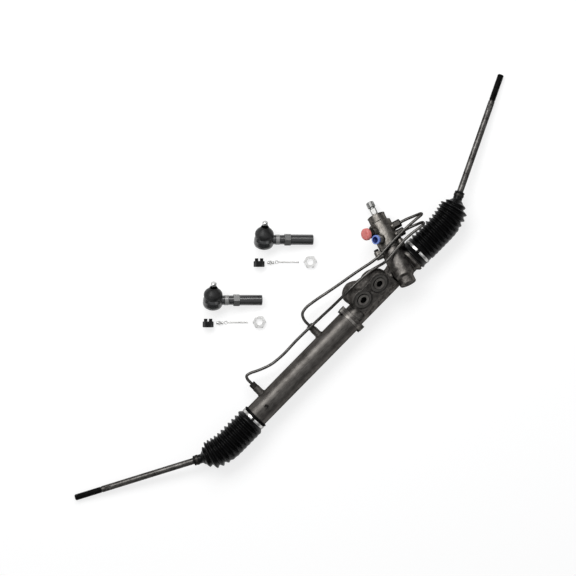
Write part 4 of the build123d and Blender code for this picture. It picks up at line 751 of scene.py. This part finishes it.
RED_CAP = [
    (49.0, 11.3), (49.0, 13.2), (49.3, 13.5), (50.6, 13.5), (51.0, 13.3), (53.0, 13.35), (54.6, 13.2),
    (55.8, 12.7), (56.8, 11.8), (57.5, 10.4), (57.9, 8.0), (58.0, 5.0), (58.0, 0), (55.9, 0),
    (55.9, 10.6), (55.4, 11.25),
]
place = frame_at(RETURN_AT, RETURN_DIR)
replacing(lathe("red_cover", place, RED_CAP, RED, 72, crease=60, loop=True),
          "red_plug", "return_cap")
CORE = [
    (35.6, 0), (35.6, 5.3), (47.02, 5.3), (47.02, 6.7), (47.3, 6.9), (47.6, 6.7), (47.7, 6.1),
    (46.2, 4.9), (44.6, 3.4), (43.6, 2.6), (39.0, 2.4), (39.0, 0),
]
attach(lathe("blue_core", frame_at(PRESSURE_AT, PRESSURE_DIR), CORE, NAVY, 48), "blue_plug")


# Camera, light and floor

def light(name, spot, aim, size, power):
    lamp = bpy.data.lights.new(name, "AREA")
    lamp.shape = "RECTANGLE"
    lamp.size, lamp.size_y = size
    lamp.energy = power
    made = bpy.data.objects.new(name, lamp)
    made.location = spot
    made.rotation_euler = (Vector(aim) - Vector(spot)).to_track_quat("-Z", "Y").to_euler()
    bpy.context.scene.collection.objects.link(made)


CENTRE = Vector((0.116, 0.147, 0))
RIGHT = Vector((0.7009, -0.7133, 0))
UP = Vector((0.7133, 0.7009, 0))
DISTANCE = 5.0
FRAME_WIDTH = 1.267
SENSOR = 36.0

camera = bpy.data.cameras.new("camera")
camera.sensor_width = SENSOR
camera.lens = SENSOR * DISTANCE / FRAME_WIDTH
camera.clip_end = 50.0
eye = bpy.data.objects.new("camera", camera)
eye.matrix_world = Matrix((
    (RIGHT.x, UP.x, 0, CENTRE.x),
    (RIGHT.y, UP.y, 0, CENTRE.y),
    (0, 0, 1, DISTANCE),
    (0, 0, 0, 1),
))
bpy.context.scene.collection.objects.link(eye)
bpy.context.scene.camera = eye

KEY_AT = CENTRE + UP * 1.2 - RIGHT * 0.7 + Vector((0, 0, 1.9))
FILL_AT = CENTRE + RIGHT * 1.6 - UP * 0.4 + Vector((0, 0, 1.7))
light("key", KEY_AT, CENTRE, (2.6, 1.1), 50)
light("fill", FILL_AT, CENTRE, (1.4, 1.4), 5)

world = bpy.data.worlds.new("studio")
world.use_nodes = True
bpy.context.scene.world = world
sky = world.node_tree
background = sky.nodes["Background"]
background.inputs["Color"].default_value = (0.97, 0.98, 1.0, 1)
height = sky.nodes.new("ShaderNodeSeparateXYZ")
sky.links.new(sky.nodes.new("ShaderNodeTexCoord").outputs["Generated"], height.inputs[0])
rise = sky.nodes.new("ShaderNodeMapRange")
for socket, value in (("From Min", 0.45), ("From Max", 0.95), ("To Min", 0.1), ("To Max", 0.5)):
    rise.inputs[socket].default_value = value
sky.links.new(height.outputs["Z"], rise.inputs[0])
sky.links.new(rise.outputs[0], background.inputs["Strength"])

floor_skin = Graph("floor_skin")
rays = floor_skin.node("LightPath").outputs
seen = floor_skin.maths("MAXIMUM", rays["Is Camera Ray"], rays["Is Glossy Ray"])
seen = floor_skin.maths("MAXIMUM", seen, rays["Is Transmission Ray"])
floor_skin.set(Roughness=0.9, Specular_IOR_Level=0.0, Emission_Color=(1.0, 1.0, 1.0),
               Base_Color=floor_skin.mixed(seen, (0.85, 0.85, 0.85), (0.33, 0.33, 0.33)),
               Emission_Strength=floor_skin.maths("MULTIPLY", seen, 0.74))
FLOOR_Z = -0.0355
FLOOR_CORNERS = ((-6, -6), (6, -6), (6, 6), (-6, 6))
floor = piece("floor", [(x, y, FLOOR_Z) for x, y in FLOOR_CORNERS], [(0, 1, 2, 3)],
              floor_skin.material, smooth=False)

bpy.context.scene.view_settings.view_transform = "Standard"
